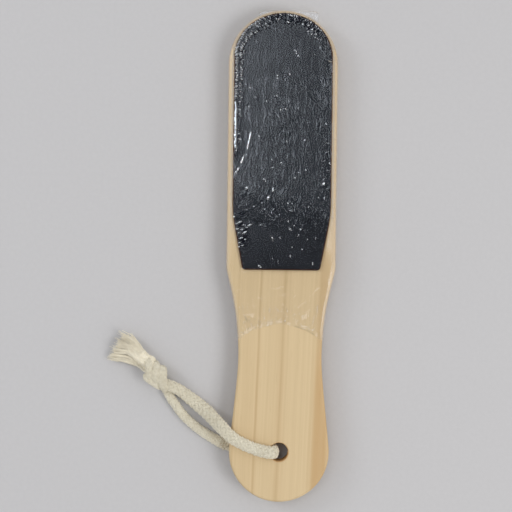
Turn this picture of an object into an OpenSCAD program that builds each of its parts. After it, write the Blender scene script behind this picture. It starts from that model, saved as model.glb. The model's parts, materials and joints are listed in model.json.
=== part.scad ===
// Foot file: a wooden paddle with an abrasive sheet glued to each face, a clear
// shrink film over its head, and a cotton hanging cord knotted through its handle.
// The file lies flat, its head towards +Y. The cord passes under the handle and
// lifts that end a little, so the paddle leans on the round end of its head.

/* [Paddle] */
// Overall length of the wood
paddle_l = 250; // [240:1:270]
// Thickness of the wood
paddle_t = 9; // [8:0.1:10]
// Width of the head
head_w = 55.5; // [54:0.5:64]
// Length of the head, from its end to the shoulder
head_l = 130; // [126:1:138]
// Length of the head's round end
head_end_l = 27.5; // [24:0.5:32]
// Distance from the head's end to the waist of the handle
waist_l = 177; // [170:1:182]
// Width at the waist
waist_w = 42.4; // [38:0.2:46]
// Width of the handle at its round end
handle_w = 50.8; // [47:0.2:54]
// Radius that rounds the edges of the wood
edge_r = 1.5; // [0.8:0.1:2.4]
// Diameter of the hanging hole
hole_d = 9.2; // [9:0.1:12]
// Radius that rounds the rims of the hole
rim_r = 1; // [0.4:0.1:1.6]

/* [Abrasive sheets] */
// Width of a sheet
sheet_w = 50.1; // [44:0.1:51]
// Length of a sheet
sheet_l = 130.7; // [124:0.1:134]
// Bare wood between the head's end and the sheet
sheet_rim = 1.5; // [1:0.1:3]
// Length of the sheet's round end
sheet_end_l = 22.6; // [20:0.2:30]
// Width of the sheet at its foot
foot_w = 39.4; // [34:0.2:44]
// Length over which the sheet narrows to its foot
taper_l = 28.2; // [20:0.2:40]
// Length of the curve where the sheet begins to narrow
taper_blend = 8; // [4:0.5:12]
// Radius of the sheet's lower corners
foot_r = 2; // [1:0.5:5]
// Thickness of the sheet with its grit
sheet_t = 0.8; // [0.5:0.05:1.2]
// Thickness of the adhesive under a sheet
glue_t = 0.2; // [0.1:0.05:0.4]
// Distance that the adhesive stays inside the sheet's edge
glue_inset = 0.3; // [0.1:0.1:1]

/* [Shrink film] */
// Thickness of the film
film_t = 0.1; // [0.06:0.01:0.2]
// Air between the film and what it wraps
film_gap = 0.1; // [0.06:0.01:0.2]
// Height of the arc of the film's open end
mouth_rise = 8.2; // [2:0.2:11]
// Length over which the film slopes from the sheet's foot to the wood
tent_l = 5; // [3:0.5:8]
// Reach of the seam tab to the left of the middle
tab_left = 12.5; // [8:0.5:16]
// Reach of the seam tab to the right of the middle
tab_right = 18; // [12:0.5:19]
// Height of the seam tab past the head's end
tab_l = 0.7; // [0.5:0.1:1.5]
// Radius of the tab's corners
tab_r = 2; // [1:0.5:3]

/* [Hanging cord] */
// Width of the flat braided cord
cord_w = 6.8; // [6:0.1:7]
// Thickness of the cord
cord_t = 4.8; // [4:0.1:4.8]
// Air between the cord and the back of the handle
cord_gap = 0.15; // [0.1:0.01:0.3]
// Size of the knot across the cord
knot_w = 12; // [11.5:0.1:13.5]
// Height of the knot
knot_h = 11.4; // [11:0.1:13]
// Length of the knot along the cord
knot_l = 12.6; // [12:0.1:13.5]
// Thickness of the strands that wrap the knot
strand_d = 6; // [5:0.1:6]

/* [Hidden] */
$fn = 48;
// Overrun of every cut
over = 1;
// Steps of the outline: round end, straight side, neck, grip and handle end
end_steps = 14;
side_steps = 10;
neck_steps = 16;
grip_steps = 6;
arc_steps = 12;
// Steps of an edge's rounding, and the step of the neck where the film ends
edge_steps = 2;
mouth_step = 14;
// Shares of the shoulder's and grip's spans that bend their curves
shoulder_share = 0.13;
waist_share = 0.6;
grip_share = 0.22;
end_share = 0.33;
// Turn of the handle's round end where the grip meets it
grip_turn = 5;
// Thickness left in the cord where the handle presses it, as a share
pressed_share = 0.54;

// Levels through the head, from the film's back face up
rear_sheet_z = film_t + film_gap;
rear_glue_z = rear_sheet_z + sheet_t;
wood_z = rear_glue_z + glue_t;
wood_top = wood_z + paddle_t;
front_sheet_z = wood_top + glue_t;
sheet_top = front_sheet_z + sheet_t;
mid_z = (wood_z + wood_top) / 2;

// Places along the paddle, whose middle is at zero
head_y = paddle_l / 2;
end_y = head_y - head_end_l;
shoulder_y = head_y - head_l;
waist_y = head_y - waist_l;
handle_r = handle_w / 2;
hole_y = handle_r - head_y;
sheet_y = head_y - sheet_rim;
sheet_end_y = sheet_y - sheet_end_l;
foot_y = sheet_y - sheet_l;
taper_y = foot_y + taper_l;

// Lean of the paddle: the pressed cord lifts the handle at its hole
under_t = cord_t * pressed_share;
lean = asin((under_t + cord_gap - wood_z) / (sheet_y - hole_y));

function mix(a, b, s) = a + (b - a) * s;
function unit(v) = v / norm(v);
function flatten(rows) = [for (row = rows) for (p = row) p];
function mirrored(p) = [-p[0], p[1]];
function bezier(a, b, c, d, s) =
    a * (1 - s) ^ 3 + b * 3 * s * (1 - s) ^ 2 + c * 3 * s ^ 2 * (1 - s) + d * s ^ 3;

// Right side of the paddle's outline, from the head's end to the handle's end
shoulder_at = [head_w / 2, shoulder_y];
waist_at = [waist_w / 2, waist_y];
neck_span = shoulder_y - waist_y;
grip_at = [handle_r * cos(grip_turn), hole_y + handle_r * sin(grip_turn)];
grip_span = waist_y - grip_at[1];
side_outline = concat(
    [for (i = [0 : end_steps - 1]) let (a = 90 * i / end_steps)
        [head_w / 2 * sin(a), end_y + head_end_l * cos(a)]],
    [for (i = [0 : side_steps - 1]) [head_w / 2, mix(end_y, shoulder_y, i / side_steps)]],
    [for (i = [0 : neck_steps - 1]) bezier(
        shoulder_at,
        shoulder_at - [0, neck_span * shoulder_share],
        waist_at + [0, neck_span * waist_share],
        waist_at,
        i / neck_steps)],
    [for (i = [0 : grip_steps - 1]) bezier(
        waist_at,
        waist_at - [0, grip_span * grip_share],
        grip_at + grip_span * end_share * [-sin(grip_turn), cos(grip_turn)],
        grip_at,
        i / grip_steps)],
    [for (i = [0 : arc_steps - 1]) let (a = mix(grip_turn, -90, i / arc_steps))
        [handle_r * cos(a), hole_y + handle_r * sin(a)]],
    [[0, hole_y - handle_r]]
);
last_side = len(side_outline) - 1;

// Whole outline, turning left from the head's end
outline = concat(
    [for (p = side_outline) mirrored(p)],
    [for (i = [last_side - 1 : -1 : 1]) side_outline[i]]
);
count = len(outline);
outline_out = [for (i = [0 : count - 1])
    let (d = unit(outline[(i + 1) % count] - outline[(i + count - 1) % count])) [d[1], -d[0]]];

// Rings of the wood from its back face to its front face, as inset and height
edge_rings = concat(
    [for (k = [0 : edge_steps]) let (a = 90 * k / edge_steps)
        [edge_r * (1 - sin(a)), wood_z + edge_r * (1 - cos(a))]],
    [for (k = [edge_steps : -1 : 0]) let (a = 90 * k / edge_steps)
        [edge_r * (1 - sin(a)), wood_top - edge_r * (1 - cos(a))]]
);

// Triangles that join a stack of rings of n points each, with both ends closed
function stack_faces(rings, n) = concat(
    [[for (k = [0 : n - 1]) k]],
    [for (i = [0 : rings - 2]) for (k = [0 : n - 1]) let (m = (k + 1) % n)
        each [[i * n + k, (i + 1) * n + k, (i + 1) * n + m], [i * n + k, (i + 1) * n + m, i * n + m]]],
    [[for (k = [n - 1 : -1 : 0]) (rings - 1) * n + k]]
);

// Half the width of a sheet at y, before its blend
function sheet_half(y) = min(sheet_w / 2, mix(foot_w, sheet_w, (y - foot_y) / taper_l) / 2);

// Right side of a sheet's outline, from its round end to its foot
function taper_at(y) = [mix(foot_w, sheet_w, (y - foot_y) / taper_l) / 2, y];
blend_steps = 5;
blend_a = [sheet_w / 2, taper_y + taper_blend];
blend_b = [sheet_w / 2, taper_y];
blend_c = taper_at(taper_y - taper_blend);
corner_turn = atan2((sheet_w - foot_w) / 2, taper_l);
corner_steps = 4;
sheet_side = concat(
    [for (i = [0 : end_steps]) let (a = 90 * i / end_steps)
        [sheet_w / 2 * sin(a), sheet_end_y + sheet_end_l * cos(a)]],
    [for (i = [0 : blend_steps]) let (s = i / blend_steps)
        mix(mix(blend_a, blend_b, s), mix(blend_b, blend_c, s), s)],
    [for (i = [0 : corner_steps]) let (a = mix(-corner_turn, -90, i / corner_steps))
        [taper_at(foot_y + foot_r)[0] - foot_r / cos(corner_turn) + foot_r * cos(a),
            foot_y + foot_r + foot_r * sin(a)]]
);
sheet_outline = concat(
    sheet_side,
    [for (i = [len(sheet_side) - 1 : -1 : 1]) mirrored(sheet_side[i])]
);

// The film is drawn as ribs, each from the middle of the front over the edge
// to the middle of the back, at every point of the outline that it covers
rib_count = end_steps + side_steps + mouth_step;
film_room = film_gap + film_t;
spine_end_y = sheet_end_y + sheet_end_l / 2;
tent_top_y = foot_y - tent_l / 2;
function spine_y(i) =
    i < end_steps
        ? mix(spine_end_y, end_y + mouth_rise, i / end_steps)
        : side_outline[i][1] + mouth_rise;
// Distance from the wood's round end, straight in, to just outside the sheet's round end
function end_rim(p, n) =
    let (
        w = sheet_w / 2 + film_room,
        l = sheet_end_l + film_room,
        a = (n[0] / w) ^ 2 + (n[1] / l) ^ 2,
        b = p[0] * n[0] / w ^ 2 + (p[1] - sheet_end_y) * n[1] / l ^ 2,
        c = (p[0] / w) ^ 2 + ((p[1] - sheet_end_y) / l) ^ 2 - 1
    )
    (b - sqrt(b ^ 2 - a * c)) / a;
function film_edge(i, p, n) =
    i < end_steps
        ? p - n * end_rim(p, n)
        : rib_place(i, sheet_half(rib_place(i, sheet_half(p[1]))[1]) + film_room);
function rib_place(i, x) =
    [x, side_outline[i][1] + mouth_rise * (1 - (x / side_outline[i][0]) ^ 2)];
function film_level(y) =
    mix(sheet_top, wood_top, min(1, max(0, (tent_top_y - y) / tent_l)));
function film_front(i, g) =
    let (
        p = side_outline[i],
        n = mirrored(outline_out[i]),
        spine = [0, spine_y(i)],
        edge = film_edge(i, p, n),
        middle = i < end_steps ? (spine + edge) / 2 : rib_place(i, edge[0] / 2),
        turn_in = edge_r * (1 - cos(45)),
        corner = p - n * min(edge_r, (norm(p - edge) + turn_in) / 2),
        turn = p + n * (g * cos(45) - turn_in),
        turn_z = wood_top - edge_r * (1 - sin(45)) + g * sin(45),
        s = min(1, max(0, norm(corner - edge) / norm(turn - edge))),
        corner_z = max(wood_top + g, mix(film_level(edge[1]) + g, turn_z, s)),
        side = p + n * g
    )
    [
        [spine[0], spine[1], film_level(spine[1]) + g],
        [middle[0], middle[1], film_level(middle[1]) + g],
        [edge[0], edge[1], film_level(edge[1]) + g],
        [corner[0], corner[1], corner_z],
        [turn[0], turn[1], turn_z],
        [side[0], side[1], wood_top - edge_r]
    ];
// Rows 6 to 9 of a rib are the side wall's middle, where the seam tab stands out of it
tab_row = 6;
tab_y = head_y + tab_l;
function tab_place(i, x) = [side_outline[i][0], tab_y - max(0, abs(x) + tab_r - tab_reach(x)) / 2];
function tab_reach(x) = x > 0 ? tab_right : tab_left;
function film_rib(i, g, x) =
    let (
        front = film_front(i, g),
        wall = front[len(front) - 1],
        tip = tab_place(i, x),
        half = concat(front, [[wall[0], wall[1], mid_z + film_t], [tip[0], tip[1], mid_z + film_t]])
    )
    concat(half, [for (k = [len(half) - 1 : -1 : 0]) [half[k][0], half[k][1], 2 * mid_z - half[k][2]]]);
film_last = 2 * rib_count;
function column_x(c) = (c < rib_count ? 1 : -1) * side_outline[abs(c - rib_count)][0];
film_rows = len(film_rib(0, film_gap, 0));
function film_points(g) = [for (c = [0 : film_last])
    for (p = film_rib(abs(c - rib_count), g, column_x(c)))
        c < rib_count ? p : [-p[0], p[1], p[2]]];
// Points on the spine are shared by both sides, and the tab's where there is no tab by the wall
function has_tab(c) = abs(c - rib_count) < end_steps && abs(column_x(c)) < tab_reach(column_x(c));
function own_column(c, r) = (r == 0 || r == film_rows - 1) && c > rib_count ? film_last - c : c;
function own_row(c, r, outside) =
    outside && has_tab(c) ? r : r == tab_row + 1 ? tab_row : r == tab_row + 2 ? tab_row + 3 : r;
film_size = (film_last + 1) * film_rows;
function out_at(c, r) = own_column(c, r) * film_rows + own_row(c, r, true);
function in_at(c, r) = film_size + own_column(c, r) * film_rows + own_row(c, r, false);
function whole(faces) = [for (f = faces) if (f[0] != f[1] && f[1] != f[2] && f[2] != f[0]) f];
// Two triangles for four corners, cut so that none lies along the middle of the head
function film_quad(c, r, a, b, d, e) =
    (c < rib_count) == (r < film_rows / 2) ? [[a, b, e], [b, d, e]] : [[a, b, d], [a, d, e]];
function turned(faces) = [for (f = faces) [f[0], f[2], f[1]]];
film_faces = whole(concat(
    [for (c = [0 : film_last - 1]) for (r = [0 : film_rows - 2])
        each film_quad(c, r, out_at(c, r), out_at(c + 1, r), out_at(c + 1, r + 1), out_at(c, r + 1))],
    [for (c = [0 : film_last - 1]) for (r = [0 : film_rows - 2])
        each turned(film_quad(c, r, in_at(c, r), in_at(c + 1, r), in_at(c + 1, r + 1), in_at(c, r + 1)))],
    [for (r = [0 : film_rows - 2])
        let (a = out_at(0, r), b = out_at(0, r + 1), d = in_at(0, r + 1), e = in_at(0, r))
        each [[a, b, d], [a, d, e]]],
    [for (r = [0 : film_rows - 2])
        let (a = out_at(film_last, r), b = out_at(film_last, r + 1))
        each [[a, in_at(film_last, r + 1), b], [a, in_at(film_last, r), in_at(film_last, r + 1)]]]
));

// The knot lies on the surface beside the handle, and the cord runs into it
knot_at = [-63.1, 38.7];
knot_turn = 160;
knot_dir = [cos(knot_turn), sin(knot_turn), 0];
knot_side = [-sin(knot_turn), cos(knot_turn), 0];
// Place on the knot, along the cord, across it, and up, from the hole at floor level
function on_knot(along, across, up) =
    [knot_at[0], knot_at[1], 0] + along * knot_dir + across * knot_side + [0, 0, up];

// Routes of the cord from the middle of the hole, which is at x and y zero
front_route = concat([
    [-2, 0, 7.2], [-2, 0, 9], [-2.1, 0, 10.7], [-2.6, 0, 12.5], [-3.9, 0.1, 13.8], [-5.7, 0.4, 14.3],
    [-9.5, 1.2, 14.3], [-14, 2.6, 14.3], [-19, 4.8, 14.3], [-23, 7, 14.2], [-25.6, 9, 14],
    [-28.5, 11.8, 13], [-31.7, 14.7, 10.6], [-35.9, 18.5, 6.8], [-40.9, 22.3, 3.8], [-45.7, 25.9, 2.6],
    [-50, 29.2, 3.2], [-54, 31.7, 5.4]
], [on_knot(-knot_l / 2, 3.4, 7.3)]);
rear_route = concat([
    [-2, 0, 7.2], [-2, 0, 5.4], [-2.1, 0, 4], [-2.7, 0, 2.7], [-3.9, 0.1, 1.7], [-5.8, 0.3, 1.3],
    [-10, 0.6, 1.3], [-15, 1, 1.3], [-20, 1.4, 1.3], [-25, 1.9, 1.3], [-27.5, 2.5, 1.6],
    [-30.5, 3.7, 2.1], [-36.5, 7, 2.4], [-42, 10.6, 2.4], [-47, 14.8, 2.4], [-50.5, 18.6, 2.4],
    [-53.3, 22.4, 2.4], [-56, 26.2, 2.4]
], [on_knot(-knot_l / 2, 5.2, 2.5)]);
upper_route = concat([on_knot(knot_l / 2, -4.4, 7.2)], [
    [-71.4, 48, 6.8], [-75.5, 52.1, 4.8], [-79.6, 55.2, 3.2], [-82.6, 57.2, 2.7]
]);
lower_route = concat([on_knot(knot_l / 2, -0.8, 2.9)], [
    [-72, 43.8, 2.5], [-76.4, 45.3, 2.4], [-82.5, 47, 2.3], [-88.6, 47.1, 2.1]
]);
// Width and thickness along each route, as shares of the cord's own
front_shares = [
    [1, 0.95], [1, 0.95], [1, 0.95], [1, 0.95], [1, 0.96], [1, 0.98], [0.99, 0.98], [0.95, 0.98],
    [0.95, 0.98], [0.98, 0.98], [1, 0.98], [1.04, 0.98], [1.08, 0.98], [1.12, 0.98], [1.12, 1], [1.02, 1],
    [0.94, 1], [0.92, 1], [0.95, 0.95]
];
rear_shares = [
    [1, 0.95], [1, 0.9], [1, 0.85], [1, 0.74], [1.02, 0.6], [1.06, pressed_share],
    [1.1, pressed_share], [1.1, pressed_share], [1.1, pressed_share], [1.08, pressed_share], [1.02, 0.63],
    [0.9, 0.85], [0.82, 0.98], [0.78, 0.98], [0.76, 0.98], [0.75, 0.98],
    [0.75, 0.98], [0.76, 0.98], [0.8, 0.95]
];
upper_shares = [[0.88, 0.95], [0.98, 0.92], [1.2, 0.85], [1.42, 0.8], [1.5, 0.7]];
lower_shares = [[0.8, 0.9], [0.76, 0.9], [0.72, 0.9], [0.7, 0.85], [0.5, 0.7]];

// A cord swept along a route: rings of an oval across the route's direction
cord_sides = 12;
upright_share = 0.1;
function direction(route, i, first, last) =
    i == 0 ? first : i == len(route) - 1 ? last : unit(route[i + 1] - route[i - 1]);
// Level direction across the cord, which is along -Y where the cord stands upright
function across(t) = norm([t[0], t[1]]) < upright_share ? [0, -1, 0] : unit([-t[1], t[0], 0]);
function cord_ring(at, t, w, h) =
    let (a = across(t), u = cross(t, a))
    [for (k = [0 : cord_sides - 1]) let (turn = 360 * k / cord_sides)
        at + a * w / 2 * cos(turn) + u * h / 2 * sin(turn)];

module swept_cord(route, shares, first, last) {
    rings = [for (i = [0 : len(route) - 1])
        cord_ring(route[i], direction(route, i, first, last), cord_w * shares[i][0], cord_t * shares[i][1])];
    translate([0, hole_y, 0])
        polyhedron(points = flatten(rings), faces = stack_faces(len(rings), cord_sides));
}

// Three strands wrap the knot side by side, and they and the knot lean along the cord
knot_steps = 18;
knot_sides = 28;
wrap_r = strand_d / 2;
lean_share = 0.2;
wrap_lean = strand_d * lean_share;
wrap_shares = [-0.3, 0, 0.3];
skew_share = -0.26;
function wrap_swell(u, turn) = wrap_r * max([for (share = wrap_shares)
    let (off = (u - knot_l * share + wrap_lean * cos(turn)) / wrap_r)
    sqrt(max(0, 1 - off ^ 2))]);
function wrap_ring(u, turn, swell) = [u, skew_share * u + (knot_w / 2 - wrap_r + swell) * cos(turn),
    knot_h / 2 + (knot_h / 2 - wrap_r + swell) * sin(turn)];
knot_rings = [for (i = [0 : knot_steps]) let (u = knot_l * (i / knot_steps - 0.5))
    [for (k = [0 : knot_sides - 1]) let (turn = 360 * k / knot_sides)
        wrap_ring(u, turn, wrap_swell(u, turn))]];

module on_rest() {
    translate([0, sheet_y, 0])
        rotate([-lean, 0, 0])
            translate([0, -sheet_y, 0])
                children();
}

// What rounds a rim of the hole, below the level of the wood's face
module rim_cut() {
    rotate_extrude()
        difference() {
            translate([hole_d / 2 - rim_r, -rim_r])
                square([2 * rim_r, rim_r + over]);
            translate([hole_d / 2 + rim_r, -rim_r])
                circle(rim_r);
        }
}

module paddle() {
    color([0.8, 0.72, 0.57])
        on_rest()
            difference() {
                polyhedron(
                    points = [for (ring = edge_rings) for (i = [0 : count - 1])
                        let (p = outline[i] - outline_out[i] * ring[0]) [p[0], p[1], ring[1]]],
                    faces = stack_faces(len(edge_rings), count));
                translate([0, hole_y, wood_z - over])
                    cylinder(h = paddle_t + 2 * over, d = hole_d);
                translate([0, hole_y, wood_top])
                    rim_cut();
                translate([0, hole_y, wood_z])
                    mirror([0, 0, 1])
                        rim_cut();
            }
}

module sheet(z) {
    on_rest()
        translate([0, 0, z])
            linear_extrude(sheet_t)
                polygon(sheet_outline);
}

module front_abrasive() {
    color([0.27, 0.29, 0.33])
        sheet(front_sheet_z);
}

module rear_abrasive() {
    color([0.3, 0.31, 0.34])
        sheet(rear_sheet_z);
}

// The adhesive has the sheet's outline, drawn in by its inset
module adhesive(z) {
    shrink_x = (sheet_w - 2 * glue_inset) / sheet_w;
    shrink_y = (sheet_l - 2 * glue_inset) / sheet_l;
    centre_y = sheet_y - sheet_l / 2;
    color([0.85, 0.8, 0.62])
        on_rest()
            translate([0, 0, z])
                linear_extrude(glue_t)
                    polygon([for (p = sheet_outline)
                        [p[0] * shrink_x, centre_y + (p[1] - centre_y) * shrink_y]]);
}

module front_adhesive() {
    adhesive(wood_top);
}

module rear_adhesive() {
    adhesive(rear_glue_z);
}

module shrink_film() {
    color([0.85, 0.9, 0.95, 0.3])
        on_rest()
            polyhedron(
                points = concat(film_points(film_gap + film_t), film_points(film_gap)),
                faces = film_faces);
}

module cord_front_leg() {
    color([0.81, 0.77, 0.66])
        swept_cord(front_route, front_shares, [0, 0, 1], knot_dir);
}

module cord_rear_leg() {
    color([0.8, 0.76, 0.64])
        swept_cord(rear_route, rear_shares, [0, 0, -1], knot_dir);
}

module cord_knot() {
    color([0.83, 0.79, 0.67])
        translate([knot_at[0], hole_y + knot_at[1], 0])
            rotate([0, 0, knot_turn])
                polyhedron(
                    points = flatten(knot_rings),
                    faces = stack_faces(len(knot_rings), knot_sides));
}

module cord_tail_upper() {
    color([0.84, 0.8, 0.69])
        swept_cord(upper_route, upper_shares, knot_dir, unit([-3, 2, 0]));
}

module cord_tail_lower() {
    color([0.83, 0.79, 0.68])
        swept_cord(lower_route, lower_shares, knot_dir, [-1, 0, 0]);
}

paddle();
front_abrasive();
rear_abrasive();
front_adhesive();
rear_adhesive();
shrink_film();
cord_front_leg();
cord_rear_leg();
cord_knot();
cord_tail_upper();
cord_tail_lower();
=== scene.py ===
"""Looks of a wooden foot file: pine paddle, abrasive sheets, shrink film and knotted cotton cord.

Lengths are in metres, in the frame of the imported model. The cord's points repeat those of the
part's source. Every piece keeps its place in its mesh and rides on a body of the frame.
"""

from __future__ import annotations

import json
import logging
import math
import random
from dataclasses import dataclass, replace
from enum import Enum
from typing import Any, Callable, Iterable, Optional, Sequence

import bmesh
import bpy
from mathutils import Matrix, Vector, noise

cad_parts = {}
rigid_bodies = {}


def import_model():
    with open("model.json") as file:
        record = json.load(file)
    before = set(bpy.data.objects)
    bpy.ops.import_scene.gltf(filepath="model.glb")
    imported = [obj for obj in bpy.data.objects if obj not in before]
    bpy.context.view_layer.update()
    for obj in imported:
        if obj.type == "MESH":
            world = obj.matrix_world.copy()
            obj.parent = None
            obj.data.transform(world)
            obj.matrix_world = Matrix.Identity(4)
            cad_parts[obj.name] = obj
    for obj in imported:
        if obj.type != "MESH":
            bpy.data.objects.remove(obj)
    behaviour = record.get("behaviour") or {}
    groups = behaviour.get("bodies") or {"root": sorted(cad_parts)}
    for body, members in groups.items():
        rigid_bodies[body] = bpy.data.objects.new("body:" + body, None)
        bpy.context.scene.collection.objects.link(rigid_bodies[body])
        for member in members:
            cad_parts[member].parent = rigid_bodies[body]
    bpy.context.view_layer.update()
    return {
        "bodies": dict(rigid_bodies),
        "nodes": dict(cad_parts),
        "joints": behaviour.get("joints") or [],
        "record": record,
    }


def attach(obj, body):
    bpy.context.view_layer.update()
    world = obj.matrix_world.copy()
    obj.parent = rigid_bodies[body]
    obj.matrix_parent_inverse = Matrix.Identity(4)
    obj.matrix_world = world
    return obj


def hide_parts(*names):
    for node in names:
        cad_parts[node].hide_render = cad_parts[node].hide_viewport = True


log = logging.getLogger("foot_file")
MM = 0.001
NOISE_START = 4
Triple = tuple[float, float, float]
Colour = Triple
Size = tuple[float, float]


class Body(Enum):
    """Bodies of the frame that pieces ride on."""

    PADDLE = "paddle_body"
    CORD = "cord_loop"


class Lay(Enum):
    """Direction in which a braid's strands turn round the cord."""

    RIGHT = 1
    LEFT = -1


# Shader helpers


def operator(operation: str, swapped: bool = False) -> Callable[["Wire", Any], "Wire"]:
    """Makes a Python operator of a Math operation.

    Args:
        operation: Name of the operation.
        swapped: Whether the wire is its second value.

    Returns:
        The method for the class Wire.
    """

    def apply(wire: "Wire", other: Any) -> "Wire":
        """Adds the Math node."""
        inputs = {0: other, 1: wire} if swapped else {0: wire, 1: other}
        return wire.nodes.add("ShaderNodeMath", {"operation": operation}, inputs)

    return apply


class Wire:
    """A node's output that sums can be written on."""

    def __init__(self, nodes: "Nodes", socket: Any) -> None:
        """Keeps the tree and the output socket."""
        self.nodes = nodes
        self.socket = socket

    __add__ = __radd__ = operator("ADD")
    __mul__ = __rmul__ = operator("MULTIPLY")
    __sub__, __rsub__ = operator("SUBTRACT"), operator("SUBTRACT", swapped=True)
    __truediv__ = operator("DIVIDE")
    __pow__ = operator("POWER")

    def call(self, operation: str, second: Any = None) -> "Wire":
        """Adds a Math node with one or two values, such as SINE or MAXIMUM."""
        inputs = {0: self} if second is None else {0: self, 1: second}
        return self.nodes.add("ShaderNodeMath", {"operation": operation}, inputs)

    def clamped(self) -> "Wire":
        """self, held between zero and one."""
        return self.nodes.add("ShaderNodeClamp", {}, {"Value": self})


class Nodes:
    """The node tree of one material or world."""

    def __init__(self, owner: Any) -> None:
        """Clears the owner's tree.

        Args:
            owner: A material or world.
        """
        owner.use_nodes = True
        self.owner = owner
        self.tree = owner.node_tree
        self.tree.nodes.clear()

    def add(self, kind: str, settings: dict[str, Any], inputs: dict[Any, Any], out: Any = 0) -> Wire:
        """Adds a node.

        Args:
            kind: The node's type.
            settings: Its own settings, which are set first. A ramp's stops are given as "stops".
            inputs: Values or wires, by the socket's name or number.
            out: Name or number of the output that is wanted.

        Returns:
            The wanted output.
        """
        node = self.tree.nodes.new(kind)
        for name, value in settings.items():
            if name == "stops":
                self._set_stops(node.color_ramp, value)
            else:
                setattr(node, name, value)
        for name, value in inputs.items():
            socket = node.inputs[name]
            if isinstance(value, Wire):
                self.tree.links.new(value.socket, socket)
            else:
                socket.default_value = value
        return Wire(self, node.outputs[out])

    @staticmethod
    def _set_stops(ramp: Any, stops: Sequence[tuple[float, Sequence[float]]]) -> None:
        """Sets a ramp's stops.

        Args:
            ramp: The ramp.
            stops: Place and colour of each stop, from left to right.
        """
        while len(ramp.elements) < len(stops):
            ramp.elements.new(0.5)
        for element, (place, colour) in zip(ramp.elements, stops):
            element.position = place
            element.color = (*colour, 1.0)

    def place(self) -> Wire:
        """The point in object coordinates, in metres."""
        return self.add("ShaderNodeTexCoord", {}, {}, "Object")

    def split(self, vector: Wire) -> tuple[Wire, Wire, Wire]:
        """A vector's three numbers."""
        first = self.add("ShaderNodeSeparateXYZ", {}, {0: vector})
        return first, *(Wire(self, output) for output in first.socket.node.outputs[1:])

    def joined(self, x: Any, y: Any, z: Any) -> Wire:
        """A vector of three numbers."""
        return self.add("ShaderNodeCombineXYZ", {}, {0: x, 1: y, 2: z})

    def stretched(self, vector: Wire, scale: Triple, shift: Triple = (0, 0, 0)) -> Wire:
        """A vector scaled along its axes and shifted."""
        inputs = {"Vector": vector, "Scale": scale, "Location": shift}
        return self.add("ShaderNodeMapping", {"vector_type": "POINT"}, inputs)

    def grainy(self, vector: Wire, scale: float, detail: float = 2.0, rough: float = 0.5) -> Wire:
        """Soft noise between zero and one."""
        inputs = {"Vector": vector, "Scale": scale, "Detail": detail, "Roughness": rough}
        return self.add("ShaderNodeTexNoise", {}, inputs)

    def cells(self, vector: Wire, scale: float, out: str = "Distance") -> Wire:
        """Distances in random cells, or the cells' random colours."""
        return self.add("ShaderNodeTexVoronoi", {}, {"Vector": vector, "Scale": scale}, out)

    def step(self, value: Wire, low: float, high: float, start: float = 0.0, end: float = 1.0) -> Wire:
        """start below low, end above high, and a smooth change between them."""
        inputs = {"Value": value, "From Min": low, "From Max": high, "To Min": start, "To Max": end}
        return self.add("ShaderNodeMapRange", {"interpolation_type": "SMOOTHSTEP"}, inputs)

    def mixed(self, share: Any, first: Any, second: Any) -> Wire:
        """A mix of two colours, each a wire or written out."""
        colours = [c if isinstance(c, Wire) else (*c, 1.0) for c in (first, second)]
        return self.add("ShaderNodeMix", {"data_type": "RGBA"}, {0: share, 6: colours[0], 7: colours[1]}, 2)

    def bumped(self, height: Wire, distance: float) -> Wire:
        """A normal that follows a height, whose unit is that distance in metres."""
        return self.add("ShaderNodeBump", {}, {"Strength": 1.0, "Distance": distance, "Height": height})

    def surface(self, colour: Any, rough: Any, normal: Wire, **constants: Any) -> Wire:
        """A Principled shader.

        Args:
            colour: Its base colour.
            rough: Its roughness.
            normal: Its normal.
            **constants: Other sockets, with a low line for each space in their names.

        Returns:
            The shader.
        """
        inputs = {"Base Color": colour, "Roughness": rough, "Normal": normal}
        inputs |= {name.replace("_", " "): value for name, value in constants.items()}
        return self.add("ShaderNodeBsdfPrincipled", {}, inputs, "BSDF")

    def finish(self, shader: Wire) -> None:
        """Leads a shader to the tree's output."""
        kind = "World" if isinstance(self.owner, bpy.types.World) else "Material"
        self.tree.links.new(shader.socket, self.tree.nodes.new("ShaderNodeOutput" + kind).inputs["Surface"])


def new_tree(name: str) -> Nodes:
    """An empty tree in a new material of that name."""
    return Nodes(bpy.data.materials.new(name))


# Mesh helpers


def to_object(bm: bmesh.types.BMesh, name: str, material: bpy.types.Material) -> bpy.types.Object:
    """Makes a smoothly shaded object of a finished bmesh.

    Args:
        bm: The mesh, with its place in its vertices. It is freed.
        name: The piece's name.
        material: Its finish.

    Returns:
        The object, at the origin.
    """
    for face in bm.faces:
        face.smooth = True
    mesh = bpy.data.meshes.new(name)
    bm.to_mesh(mesh)
    bm.free()
    mesh.materials.append(material)
    piece = bpy.data.objects.new(name, mesh)
    bpy.context.scene.collection.objects.link(piece)
    return piece


def settle(piece: bpy.types.Object, body: Body, slot: str, *nodes: str) -> bpy.types.Object:
    """Lets a piece ride on a body, hides the solids that it stands for, and reports it.

    Args:
        piece: The piece.
        body: The body that carries it.
        slot: Not used.
        *nodes: Names of the solids that it stands for.

    Returns:
        The piece.
    """
    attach(piece, body.value)
    if nodes:
        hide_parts(*nodes)
    log.info("%s: %d faces, rides on %s", piece.name, len(piece.data.polygons), body.value)
    return piece


def smooth_share(value: float) -> float:
    """A smooth change from zero to one."""
    value = min(1.0, max(0.0, value))
    return value * value * (3 - 2 * value)


def bezier(a: Vector, b: Vector, c: Vector, d: Vector, s: float) -> Vector:
    """A point on a curve with four control points."""
    return a * (1 - s) ** 3 + b * 3 * s * (1 - s) ** 2 + c * 3 * s * s * (1 - s) + d * s**3


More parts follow.
